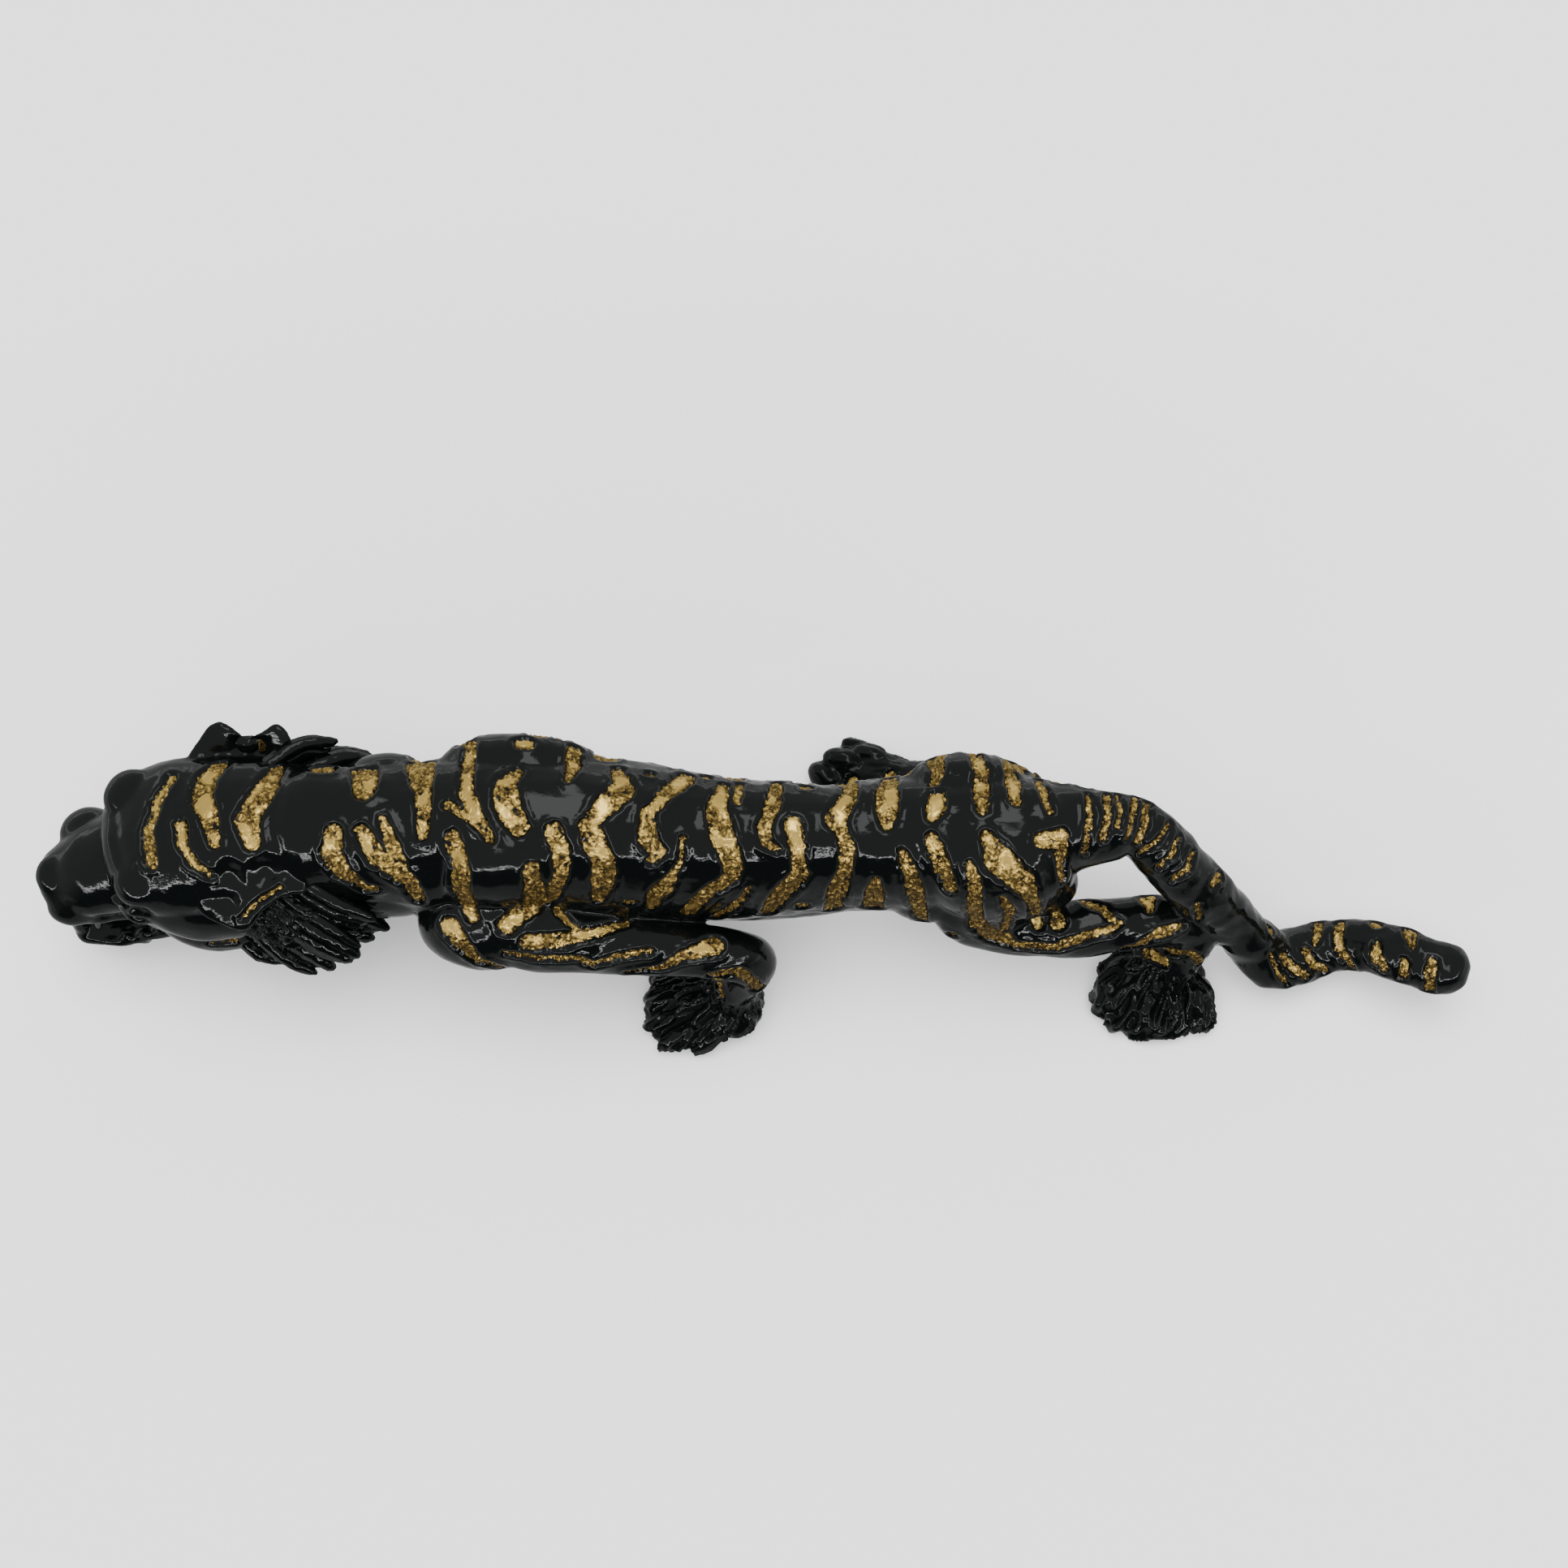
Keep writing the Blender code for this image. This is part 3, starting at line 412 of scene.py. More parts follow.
# Points in the photograph's pixels, then the stroke's widths in pixels from its start to its end
HEAD_STRIPES = [
    ([(212, 956), (193, 987), (181, 1026), (186, 1062)], (11, 17)),
    ([(222, 1017), (225, 1043), (238, 1065), (259, 1078)], (16, 8)),
    ([(271, 942), (254, 958), (248, 984), (258, 1010), (264, 1039)], (20, 26, 29, 20, 12)),
    ([(342, 945), (329, 968), (316, 987), (303, 1010), (310, 1039)], (14, 26, 30, 30, 20)),
    ([(261, 1161), (290, 1160)], (8,)),
]
NECK_STRIPES = [
    ([(394, 948), (402, 948)], (20,)),
    ([(450, 952), (448, 974)], (32, 26)),
    ([(518, 942), (521, 978), (521, 1010), (520, 1030)], (36, 22, 18, 12)),
    ([(411, 1026), (407, 1052), (420, 1075), (450, 1095), (463, 1096)], (22, 25, 22, 14, 10)),
    ([(445, 1023), (463, 1056), (485, 1072), (505, 1088), (515, 1108)], (16, 22, 24, 20, 18)),
    ([(471, 1008), (480, 1033), (489, 1065)], (10, 22)),
]
SHOULDER_STRIPES = [
    ([(579, 916), (576, 946), (574, 976), (586, 1006), (604, 1034)], (16, 16, 18, 20, 10)),
    ([(551, 991), (576, 1006)], (12,)),
    ([(639, 950), (623, 963), (623, 989), (639, 1019)], (12, 30, 32, 24)),
    ([(642, 915), (650, 915)], (18,)),
    ([(709, 923), (706, 943), (699, 960)], (20, 18, 8)),
    ([(762, 950), (769, 970), (745, 993), (725, 1019), (735, 1046), (745, 1066), (742, 1092), (737, 1109)],
     (16, 30, 28, 20, 28, 28, 30, 16)),
    ([(682, 1024), (692, 1052), (692, 1079), (679, 1105), (652, 1119), (623, 1142)],
     (22, 22, 16, 20, 20, 22)),
    ([(656, 1072), (659, 1105)], (20, 28)),
    ([(556, 1034), (566, 1066), (566, 1096), (583, 1132)], (22, 25, 25, 14)),
    ([(553, 1142), (566, 1162), (589, 1185), (619, 1192)], (26, 20, 10, 6)),
    ([(652, 1162), (692, 1159), (732, 1149), (772, 1137)], (22, 20, 14, 8)),
    ([(686, 1122), (712, 1145)], (8,)),
    ([(623, 1175), (666, 1182), (712, 1182), (732, 1190), (765, 1178), (802, 1173)], (8,)),
    ([(772, 1198), (818, 1193), (845, 1178), (881, 1165)], (6, 8, 16, 26)),
    ([(875, 1202), (911, 1198), (934, 1218)], (8, 14, 16)),
    ([(885, 1208), (888, 1228)], (16, 10)),
]
FLANK_STRIPES = [
    ([(845, 958), (822, 976), (798, 1003), (798, 1033), (812, 1052), (802, 1062)], (24, 20, 14, 22, 22, 10)),
    ([(841, 1033), (838, 1066), (825, 1086), (808, 1106), (802, 1119)], (6, 6, 10, 26, 14)),
    ([(772, 1112), (778, 1112)], (10,)),
    ([(891, 970), (883, 996), (891, 1033), (904, 1066), (901, 1082), (871, 1102), (848, 1125)],
     (16, 26, 30, 26, 18, 20, 22)),
    ([(911, 966), (908, 986)], (10,)),
    ([(924, 1096), (904, 1119), (881, 1130)], (6, 12, 10)),
    ([(958, 963), (951, 993), (941, 1019), (944, 1039), (958, 1047)], (14, 20, 16, 16, 8)),
    ([(977, 1016), (981, 1036), (986, 1069)], (22, 20, 16)),
    ([(987, 1079), (967, 1099), (944, 1125)], (22, 26, 16)),
    ([(798, 954), (802, 954)], (8,)),
    ([(869, 958), (873, 958)], (10,)),
    ([(992, 970), (996, 970)], (12,)),
    ([(987, 1116), (991, 1116)], (12,)),
    ([(1050, 963), (1044, 984), (1029, 1009), (1038, 1024), (1044, 1048), (1041, 1076), (1029, 1107),
      (1026, 1119)], (16, 22, 26, 14, 20, 16, 24, 20)),
    ([(1078, 1085), (1078, 1100), (1075, 1116)], (10, 22, 26)),
]
HIP_STRIPES = [
    ([(1099, 953), (1093, 969), (1093, 993), (1093, 1015)], (12, 28, 28, 16)),
    ([(1151, 932), (1154, 947), (1151, 963)], (22, 20, 14)),
    ([(1154, 981), (1153, 993), (1148, 1006)], (20, 24, 14)),
    ([(1203, 932), (1211, 950), (1209, 972), (1211, 996)], (16, 20, 20, 14)),
    ([(1243, 941), (1249, 963), (1252, 987)], (16, 20, 12)),
    ([(1274, 953), (1286, 975), (1294, 999)], (8, 10, 10)),
    ([(1111, 1051), (1121, 1076), (1130, 1113), (1136, 1134)], (10, 20, 22, 14)),
    ([(1148, 1036), (1157, 1061), (1170, 1094)], (18, 22, 18)),
    ([(1194, 1067), (1200, 1088), (1200, 1125), (1206, 1143), (1243, 1159)], (12, 18, 20, 22, 14)),
    ([(1216, 1030), (1234, 1064), (1261, 1088), (1274, 1113), (1280, 1140)], (14, 36, 34, 18, 12)),
    ([(1235, 1107), (1245, 1125), (1238, 1146)], (8, 16, 10)),
    ([(1283, 1036), (1307, 1033), (1307, 1058), (1310, 1082)], (18, 24, 14, 12)),
    ([(1304, 1122), (1304, 1137)], (12, 20)),
    ([(1171, 1151), (1175, 1151)], (10,)),
    ([(1212, 1152), (1252, 1165), (1301, 1169), (1338, 1155), (1369, 1146), (1378, 1137)],
     (14, 10, 12, 14, 12, 10)),
]
SHANK_STRIPES = [
    ([(1328, 1107), (1362, 1120), (1369, 1131)], (8, 14, 10)),
    ([(1414, 1107), (1417, 1120)], (20, 10)),
    ([(1476, 1117), (1477, 1134)], (8,)),
    ([(1455, 1141), (1431, 1151), (1403, 1165), (1383, 1169)], (10, 18, 12, 6)),
    ([(1410, 1172), (1434, 1186)], (14,)),
    ([(1438, 1170), (1465, 1176), (1483, 1189)], (8, 18, 14)),
]
TAIL_STRIPES = [
    ([(1341, 981), (1344, 1002), (1341, 1021), (1338, 1051)], (8,)),
    ([(1364, 981), (1367, 1002), (1359, 1033)], (9,)),
    ([(1378, 981), (1382, 1002), (1378, 1018)], (7,)),
    ([(1399, 984), (1396, 1012), (1390, 1033)], (8,)),
    ([(1414, 990), (1411, 1018), (1403, 1037)], (10,)),
    ([(1441, 1014), (1427, 1038), (1403, 1052)], (6,)),
    ([(1452, 1031), (1445, 1055), (1427, 1069)], (6,)),
    ([(1470, 1052), (1464, 1072), (1445, 1084)], (8,)),
    ([(1503, 1079), (1496, 1089)], (12,)),
    ([(1565, 1145), (1567, 1147)], (12,)),
    ([(1567, 1176), (1576, 1203), (1586, 1213)], (6,)),
    ([(1582, 1179), (1593, 1193), (1610, 1203)], (12,)),
    ([(1610, 1172), (1620, 1189), (1631, 1196)], (12,)),
    ([(1624, 1138), (1620, 1162)], (12, 8)),
    ([(1651, 1138), (1648, 1155), (1651, 1172), (1665, 1193)], (12,)),
    ([(1694, 1138), (1696, 1140)], (12,)),
    ([(1696, 1165), (1693, 1179), (1706, 1196)], (10, 16, 10)),
    ([(1737, 1148), (1741, 1165)], (18, 8)),
    ([(1730, 1186), (1727, 1203)], (14,)),
    ([(1765, 1186), (1761, 1210), (1761, 1220)], (14, 12)),
]
EAR_STRIPES = [([(298, 1131), (316, 1113), (344, 1093)], (5,))]
STRIPES = (HEAD_STRIPES + EAR_STRIPES + NECK_STRIPES + SHOULDER_STRIPES + FLANK_STRIPES + HIP_STRIPES
           + SHANK_STRIPES + TAIL_STRIPES)
STROKE_STEP = 0.7 * MM
# A mirrored dab is kept where the skin faces the eye by less than this
HIDDEN_SIDE = 0.10
TAIL_HIDDEN_SIDE = -0.35
TAIL_START = 118 * MM


def sighted(skin, pixel, mirrored):
    """The place on the skin that the photographer sees at a pixel, and the way the skin faces there."""
    sign = -1 if mirrored else 1
    eye = SIGHT_AIM + TOWARDS_EYE * SIGHT_DISTANCE
    right = (pixel[0] - PICTURE_SIZE / 2) * PICTURE_PIXEL
    up = (PICTURE_SIZE / 2 - pixel[1]) * PICTURE_PIXEL
    target = SIGHT_AIM + Vector((right, up * math.sin(SIGHT_TILT), up * math.cos(SIGHT_TILT)))
    eye = Vector((eye.x, eye.y * sign, eye.z))
    ray = Vector((target.x, target.y * sign, target.z)) - eye
    place, way, _, _ = skin.ray_cast(eye, ray.normalized())
    return place, way


def dabs_along(skin, strokes):
    """Round dabs along every stroke, and its mirror image on the hidden side: place and radius."""
    dabs = []
    for points, widths in strokes:
        stops = [k / (len(widths) - 1) if len(widths) > 1 else 0 for k in range(len(widths))]
        lengths = [0]
        for a, b in zip(points, points[1:]):
            lengths.append(lengths[-1] + math.dist(a, b))
        count = max(2, math.ceil(lengths[-1] * PICTURE_PIXEL / STROKE_STEP))
        for k in range(count + 1):
            run = k / count * lengths[-1]
            pixel = (np.interp(run, lengths, [p[0] for p in points]),
                     np.interp(run, lengths, [p[1] for p in points]))
            radius = np.interp(k / count, stops, widths) / 2 * PICTURE_PIXEL
            for mirrored in (False, True):
                place, way = sighted(skin, pixel, mirrored)
                if place is None:
                    continue
                hidden = HIDDEN_SIDE if place.x < TAIL_START else TAIL_HIDDEN_SIDE
                if mirrored and way.dot(TOWARDS_EYE) > hidden:
                    continue
                dabs.append((place, radius))
    return dabs


def edge_distance(places, dabs, reach):
    """How far each place lies outside the nearest dab's edge, up to reach, and negative inside."""
    tree = KDTree(len(dabs))
    for k, (place, _) in enumerate(dabs):
        tree.insert(place, k)
    tree.balance()
    widest = max(radius for _, radius in dabs)
    out = np.full(len(places), reach)
    for k, corner in enumerate(places):
        found = tree.find_range(corner, widest + reach)
        if found:
            out[k] = min(reach, min(gap - dabs[n][1] for _, n, gap in found))
    return out


def wander(places, size, seed, depth=3):
    """Smooth noise between about -1 and 1 at each place, with bumps of this size."""
    shift = Vector((seed * 13.7, seed * 7.3, seed * 3.1))
    return np.array([noise.fractal(Vector(p) / size + shift, 1.0, 2.0, depth) for p in places])


# Fur combed into the clay: a fan's pole, the region's centre and radii, the ridges' width and depth
COMBED = [
    ((-186, -14, 86), (-150, -27, 64), (26, 15, 27), 3.8, 2.1),
    ((-186, 14, 88), (-150, 25, 68), (26, 15, 27), 3.8, 2.1),
    ((2, -33, 42), (-19, -42, 6), (31, 26, 20), 4.3, 2.0),
    ((-146, 20, 34), (-172, 17, 6), (27, 24, 18), 4.3, 1.8),
    ((148, -14, 36), (142, -37, 6), (31, 24, 20), 6.4, 3.1),
    ((72, 40, 34), (44, 50, 6), (27, 24, 17), 3.6, 0.6),
]
# How long a ridge runs, how soon it rises inside its region, how steep it is and how high its crest
COMB_STROKE = 22 * MM
COMB_FADE = 2.5
COMB_STEEPNESS = 2.6
COMB_CREST = 0.55


def combed(places):
    """How far the combed fur stands up at each place, and how deep in a groove the place lies."""
    height = np.zeros(len(places))
    depths = np.zeros(len(places))
    for pole, centre, radii, width, depth in COMBED:
        inside = 1 - np.sum(((places - np.array(centre) * MM) / (np.array(radii) * MM)) ** 2, axis=1)
        spread = float(np.linalg.norm(np.array(centre) - np.array(pole))) / width
        for k in np.nonzero(inside > 0)[0]:
            ray = Vector(places[k]) - Vector(pole) * MM
            run = ray.length / COMB_STROKE
            ridge = noise.fractal(ray.normalized() * spread + Vector((run, run, 0)), 1.0, 2.0, 2)
            within = min(1, inside[k] * COMB_FADE)
            groove = min(abs(ridge) * COMB_STEEPNESS, 1)
            height[k] += (COMB_CREST - groove) * depth * MM * within
            depths[k] = max(depths[k], groove * within)
    return height, depths


GROOVE_DEPTH = 1.15 * MM
GROOVE_WALL = 0.6 * MM
GROOVE_MARGIN = 0.25 * MM
LIP_HEIGHT = 0.42 * MM
LIP_WIDTH = 1.1 * MM
RAGGED = 0.6 * MM
RAGGED_SIZE = 2.4 * MM
LEAF_REACH = 3.0 * MM
# Unevenness left by the sculptor's hands: size and height, over all, and more of it along the tail
HAND_MARKS = (19 * MM, 0.75 * MM)
FINGER_MARKS = (7 * MM, 0.16 * MM)
TAIL_MARKS = (9 * MM, 2.4 * MM)

places = corners_of(tiger.data)
ways = ways_of(tiger.data)
fur_height, fur_depth = combed(places)
# The groove depth is kept for the resin's painted shade in the fur grooves
note(tiger.data, "fur_depth", fur_depth)
along_tail = np.clip(places[:, 0] / TAIL_START - 1, 0, 0.3)
places += ways * (wander(places, HAND_MARKS[0], 1, 2) * HAND_MARKS[1]
                  + wander(places, FINGER_MARKS[0], 4, 2) * FINGER_MARKS[1]
                  + wander(places, TAIL_MARKS[0], 15, 2) * along_tail * TAIL_MARKS[1]
                  + fur_height)[:, None]
put_corners(tiger.data, places)
ways = ways_of(tiger.data)
skin = BVHTree.FromPolygons([Vector(p) for p in places], [tuple(p.vertices) for p in tiger.data.polygons])
stripe_dabs = dabs_along(skin, STRIPES)
edge = edge_distance(places, stripe_dabs, LEAF_REACH)
near = edge < LEAF_REACH
edge[near] += wander(places[near], RAGGED_SIZE, 2) * RAGGED

# The leaf is cut from the skin as it was before the grooves were pressed
note(tiger.data, "edge", edge)
leaf_bed = tiger.data.copy()

share = np.clip(0.5 - (edge - GROOVE_MARGIN) / GROOVE_WALL, 0, 1)
groove = share * share * (3 - 2 * share)
lip = np.exp(-((edge - GROOVE_MARGIN - LIP_WIDTH * 1.3) / LIP_WIDTH) ** 2)
places += ways * (lip * LIP_HEIGHT - groove * GROOVE_DEPTH)[:, None]
put_corners(tiger.data, places)


# The pour
# The resin takes every mark of the pressed clay. Its soles are ground flat on the bench, and it is
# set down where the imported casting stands.
CASTING_TRIANGLES = 196000
kept_share = CASTING_TRIANGLES / (2 * len(tiger.data.polygons))
settle(tiger, [("TRIANGULATE", {}), ("DECIMATE", {"ratio": kept_share})])
tiger.data.attributes.remove(tiger.data.attributes["edge"])

ground = bmesh.new()
ground.from_mesh(tiger.data)
cut = bmesh.ops.bisect_plane(ground, geom=ground.verts[:] + ground.edges[:] + ground.faces[:], dist=1e-6,
                             plane_co=(0, 0, 0), plane_no=(0, 0, -1), clear_outer=True)
rim = [e for e in cut["geom_cut"] if isinstance(e, bmesh.types.BMEdge)]
bmesh.ops.holes_fill(ground, edges=rim, sides=0)
bmesh.ops.recalc_face_normals(ground, faces=ground.faces[:])
ground.to_mesh(tiger.data)
ground.free()

low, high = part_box("tiger")
spots = corners_of(tiger.data)
to_bench = Vector((low[0] + high[0] - spots[:, 0].min() - spots[:, 0].max(),
                   low[1] + high[1] - spots[:, 1].min() - spots[:, 1].max(), 0)) / 2
tiger.data.transform(Matrix.Translation(to_bench))


# The finish
# The casting is black resin all through. It is polished to a deep gloss with a faint orange-peel,
# and in the bottoms of the combed fur its reflection is turned down as painted shade.

def plug(tree, socket, value):
    """Sets a socket to a number or colour, or links another node's output to it."""
    if isinstance(value, bpy.types.NodeSocket):
        tree.links.new(value, socket)
    elif value is not None:
        socket.default_value = value


def node(tree, kind, at, inputs=None, **settings):
    """One node in column at, with its settings, and what goes into its sockets."""
    made = tree.nodes.new(kind)
    made.location = (at * 180, 0)
    for key, value in settings.items():
        setattr(made, key, value)
    for key, value in (inputs or {}).items():
        plug(tree, made.inputs[key], value)
    return made


def arithmetic(tree, operation, at, first, second=None, clamp=False):
    """The result of a sum between sockets or numbers."""
    made = node(tree, "ShaderNodeMath", at, {0: first, 1: second}, operation=operation, use_clamp=clamp)
    return made.outputs[0]


def blend(tree, at, share, first, second):
    """The first colour blended into the second by this share."""
    made = node(tree, "ShaderNodeMix", at, {"Factor": share, "A": first, "B": second}, data_type="RGBA")
    return made.outputs["Result"]


def material(name, recipe):
    """A new material, whose shader gets what recipe(tree) returns for its sockets."""
    made = bpy.data.materials.new(name)
    made.use_nodes = True
    tree = made.node_tree
    for key, value in recipe(tree).items():
        plug(tree, tree.nodes["Principled BSDF"].inputs[key], value)
    return made


RESIN_COLOUR = (0.0020, 0.0026, 0.0026, 1)
RESIN_ROUGHNESS = 0.07
RESIN_IOR = 1.32
# Bumps to a metre: the orange-peel of the pour, and the marks of the polishing cloth
PEEL_FINENESS = 260.0
CLOTH_FINENESS = 1500.0
# Painted shade: deep fur grooves reflect less, so they look darker
GROOVE_PAINTED_SHADE = 0.34


def resin(tree, peel_strength):
    """Polished black resin with a faint orange-peel, and painted shade in the deep fur grooves."""
    groove = node(tree, "ShaderNodeAttribute", -5, attribute_name="fur_depth")
    # Painted shade: the reflection is turned down where the place lies deep in a fur groove
    painted_groove_shade = arithmetic(tree, "MULTIPLY", -3, groove.outputs["Fac"], -GROOVE_PAINTED_SHADE)
    where = node(tree, "ShaderNodeTexCoord", -5).outputs["Object"]
    peel = node(tree, "ShaderNodeTexNoise", -4, {"Vector": where, "Scale": PEEL_FINENESS, "Detail": 3.0})
    bump = node(tree, "ShaderNodeBump", -2, {"Strength": peel_strength, "Distance": 0.001,
                                             "Height": peel.outputs["Fac"]})
    comb = node(tree, "ShaderNodeMapping", -4, {"Vector": where, "Scale": (0.4, 1.0, 1.0)})
    strokes = node(tree, "ShaderNodeTexNoise", -3, {"Vector": comb.outputs["Vector"], "Scale": CLOTH_FINENESS,
                                                    "Detail": 2.0})
    fine = node(tree, "ShaderNodeBump", -1, {"Strength": 0.15, "Distance": 0.0002,
                                             "Height": strokes.outputs["Fac"],
                                             "Normal": bump.outputs["Normal"]})
    return {"Base Color": RESIN_COLOUR, "Roughness": RESIN_ROUGHNESS, "IOR": RESIN_IOR,
            "Specular IOR Level": arithmetic(tree, "ADD", -2, painted_groove_shade, 0.5), "Normal": fine.outputs["Normal"]}


black = material("black_gloss_resin", lambda tree: resin(tree, 0.05))
fur_black = material("black_gloss_fur", lambda tree: resin(tree, 0.12))
tiger.data.materials.clear()
tiger.data.materials.append(black)


def seat(piece, name):
    """Names and smooths a finished piece, which stands on the tiger's own body."""
    piece.name = name
    piece.data.name = name
    piece.data.shade_smooth()
    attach(piece, "root")


seat(tiger, "casting")
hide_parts("tiger")


# The gold leaf
# Gold leaf is laid over size in every groove. It bridges the middle, tears at the walls, crumples
# into pits that show the resin, and lies smooth where a finger pressed it down.

LEAF_TUCK = 0.6 * MM
LEAF_TOP = -0.32 * MM
LEAF_ROLL = 0.42 * MM
LEAF_THICKNESS = 0.22 * MM
LEAF_COLOUR = (0.80, 0.555, 0.155, 1)
# The dark colour of stains, and of the painted shade in folds, at edges and on sides facing away from up
LEAF_STAIN_AND_SHADE = (0.145, 0.100, 0.036, 1)
LEAF_ROUGHNESS = 0.26
# How far a torn edge strays, and the sizes of what the fingers and the brush leave in the leaf
LEAF_EDGE = 0.22 * MM
TEAR_SIZE = 1.1 * MM
TEAR_DEPTH = 0.55 * MM
PRESSED_SIZE = 6.5 * MM
BROAD_FOLD = 2.6 * MM
SMALL_FOLD = 1.25 * MM
PIT_SIZE = 1.7 * MM
DENT_SIZE = 3.1 * MM
DENT_DEPTH = 0.36 * MM
# How far up the skin has to face for the leaf to be pressed flat, and to be spared the painted shade on leaf
# facing away from up
PRESSED_FACING = 0.62
UNSHADED_FACING = 0.66


def crumple(places, edge, upward):
    """How far the leaf stands above the uncut skin, and its fold with painted shade in creases, at edges and
    on sides facing away from up.
    """
    body = np.clip((LEAF_EDGE - edge + wander(places, TEAR_SIZE, 6, 2) * TEAR_DEPTH) / LEAF_ROLL, 0, 1)
    body = body * body * (3 - 2 * body)
    pressed = np.clip(wander(places, PRESSED_SIZE, 7, 1) * 6 + 0.5, 0, 1)
    pressed *= np.clip((-edge - 0.5 * MM) / (0.8 * MM), 0, 1) * np.clip((upward - PRESSED_FACING) / 0.2, 0, 1)
    broad = np.abs(wander(places, BROAD_FOLD, 8, 2))
    small = np.abs(wander(places, SMALL_FOLD, 9, 2))
    pits = np.clip(wander(places, PIT_SIZE, 10, 2) * 4 - 1.6, 0, 1)
    sink = np.clip(0.40 - broad, 0, 1) * 1.5 + np.clip(0.28 - small, 0, 1) * 2.3 + pits * 1.5
    dents = np.clip(wander(places, DENT_SIZE, 13, 1), -1, 1) * DENT_DEPTH
    loose = (1 - pressed) * (0.35 + 0.65 * body)
    sheet_height = LEAF_TOP * body + (LEAF_TOP - GROOVE_DEPTH * 1.2) * (1 - body)
    # Painted shade: the leaf is darkened in its creases, where it drops down the groove wall, and on sides
    # that face away from up
    painted_side_shade = np.clip(UNSHADED_FACING - upward, 0, 1)
    fold_and_shade = np.clip(sink * loose * 1.45 + (1 - body) * 0.5 + painted_side_shade * 0.7, 0, 1)
    return sheet_height + (0.30 - sink) * MM * loose + dents * body, fold_and_shade


def gilding(tree):
    """Crumpled gold leaf with random stains, and painted shade that turns it bronze in the folds, at the
    edges and on sides facing away from up.
    """
    where = node(tree, "ShaderNodeTexCoord", -7).outputs["Object"]
    fold_and_shade = node(tree, "ShaderNodeAttribute", -7, attribute_name="fold_and_shade").outputs["Fac"]
    stain = node(tree, "ShaderNodeTexNoise", -6, {"Vector": where, "Scale": 900.0, "Detail": 3.0})
    # Random stains plus the painted shade of the folds, the edges and the sides that face away from up
    stain_and_shade = arithmetic(tree, "MULTIPLY", -5, stain.outputs["Fac"], 0.7)
    stain_and_shade = arithmetic(tree, "ADD", -4, stain_and_shade, fold_and_shade)
    stain_and_shade = arithmetic(tree, "SUBTRACT", -3, stain_and_shade, 0.38, clamp=True)
    colour = blend(tree, -2, stain_and_shade, LEAF_COLOUR, LEAF_STAIN_AND_SHADE)
    rough = arithmetic(tree, "MULTIPLY", -2, stain_and_shade, -0.06)
    crease = node(tree, "ShaderNodeTexNoise", -5, {"Vector": where, "Scale": 1300.0, "Detail": 4.0,
                                                   "Roughness": 0.6})
    amount = arithmetic(tree, "MULTIPLY", -3, crease.outputs["Fac"], fold_and_shade)
    bump = node(tree, "ShaderNodeBump", -1, {"Strength": 1.0, "Distance": 0.0012, "Height": amount})
    return {"Metallic": 1.0, "Base Color": colour, "Normal": bump.outputs["Normal"],
            "Roughness": arithmetic(tree, "ADD", -1, rough, LEAF_ROUGHNESS)}


def islands(sheet):
    """The sheet's separate pieces of leaf, each as a list of faces."""
    found = []
    waiting = set(sheet.faces)
    while waiting:
        island = [waiting.pop()]
        for face in island:
            for side in face.edges:
                for other in side.link_faces:
                    if other in waiting:
                        waiting.remove(other)
                        island.append(other)
        found.append(island)
    return found


# Each part of the leaf holds the strips whose middle lies between these places along the body
LEAF_PARTS = {
    "gold_leaf_head": (-400, -112), "gold_leaf_shoulders": (-112, 0), "gold_leaf_hips": (0, 96),
    "gold_leaf_tail": (96, 400),
}
SCRAP_FACES = 12
LEAF_KEPT_SHARE = 0.55
gold = material("gold_leaf", gilding)
leaf_edges = noted(leaf_bed, "edge")
for name, (first_x, last_x) in LEAF_PARTS.items():
    sheet = bmesh.new()
    sheet.from_mesh(leaf_bed)
    sheet.verts.ensure_lookup_table()
    bare = [f for f in sheet.faces if min(leaf_edges[v.index] for v in f.verts) > LEAF_TUCK]
    bmesh.ops.delete(sheet, geom=bare, context="FACES")
    elsewhere = []
    for island in islands(sheet):
        middle_x = sum(f.verts[0].co.x for f in island) / len(island) / MM
        if len(island) < SCRAP_FACES or not first_x <= middle_x < last_x:
            elsewhere += island
    bmesh.ops.delete(sheet, geom=elsewhere, context="FACES")
    leaf = as_object(sheet, name)
    settle(leaf, [("SUBSURF", {"subdivision_type": "SIMPLE", "levels": 1, "render_levels": 1})])
    places = corners_of(leaf.data)
    ways = ways_of(leaf.data)
    height, folds_and_shade = crumple(places, noted(leaf.data, "edge"), ways[:, 2])
    put_corners(leaf.data, places + ways * height[:, None])
    # The fold amount with its painted shade, for the leaf's colour and bump
    note(leaf.data, "fold_and_shade", folds_and_shade)
    leaf.data.attributes.remove(leaf.data.attributes["edge"])
    settle(leaf, [("TRIANGULATE", {}), ("DECIMATE", {"ratio": LEAF_KEPT_SHARE}),
                  ("SOLIDIFY", {"thickness": LEAF_THICKNESS, "offset": -1})])
    leaf.data.transform(Matrix.Translation(to_bench))
    leaf.data.materials.clear()
    leaf.data.materials.append(gold)
    seat(leaf, name)


# The fur
# Locks of fur lie on the ruff and over the paws. Each is a fluted, tapering strand of clay that
# follows a guide line, all grown by one set of Geometry Nodes and cast with the rest.

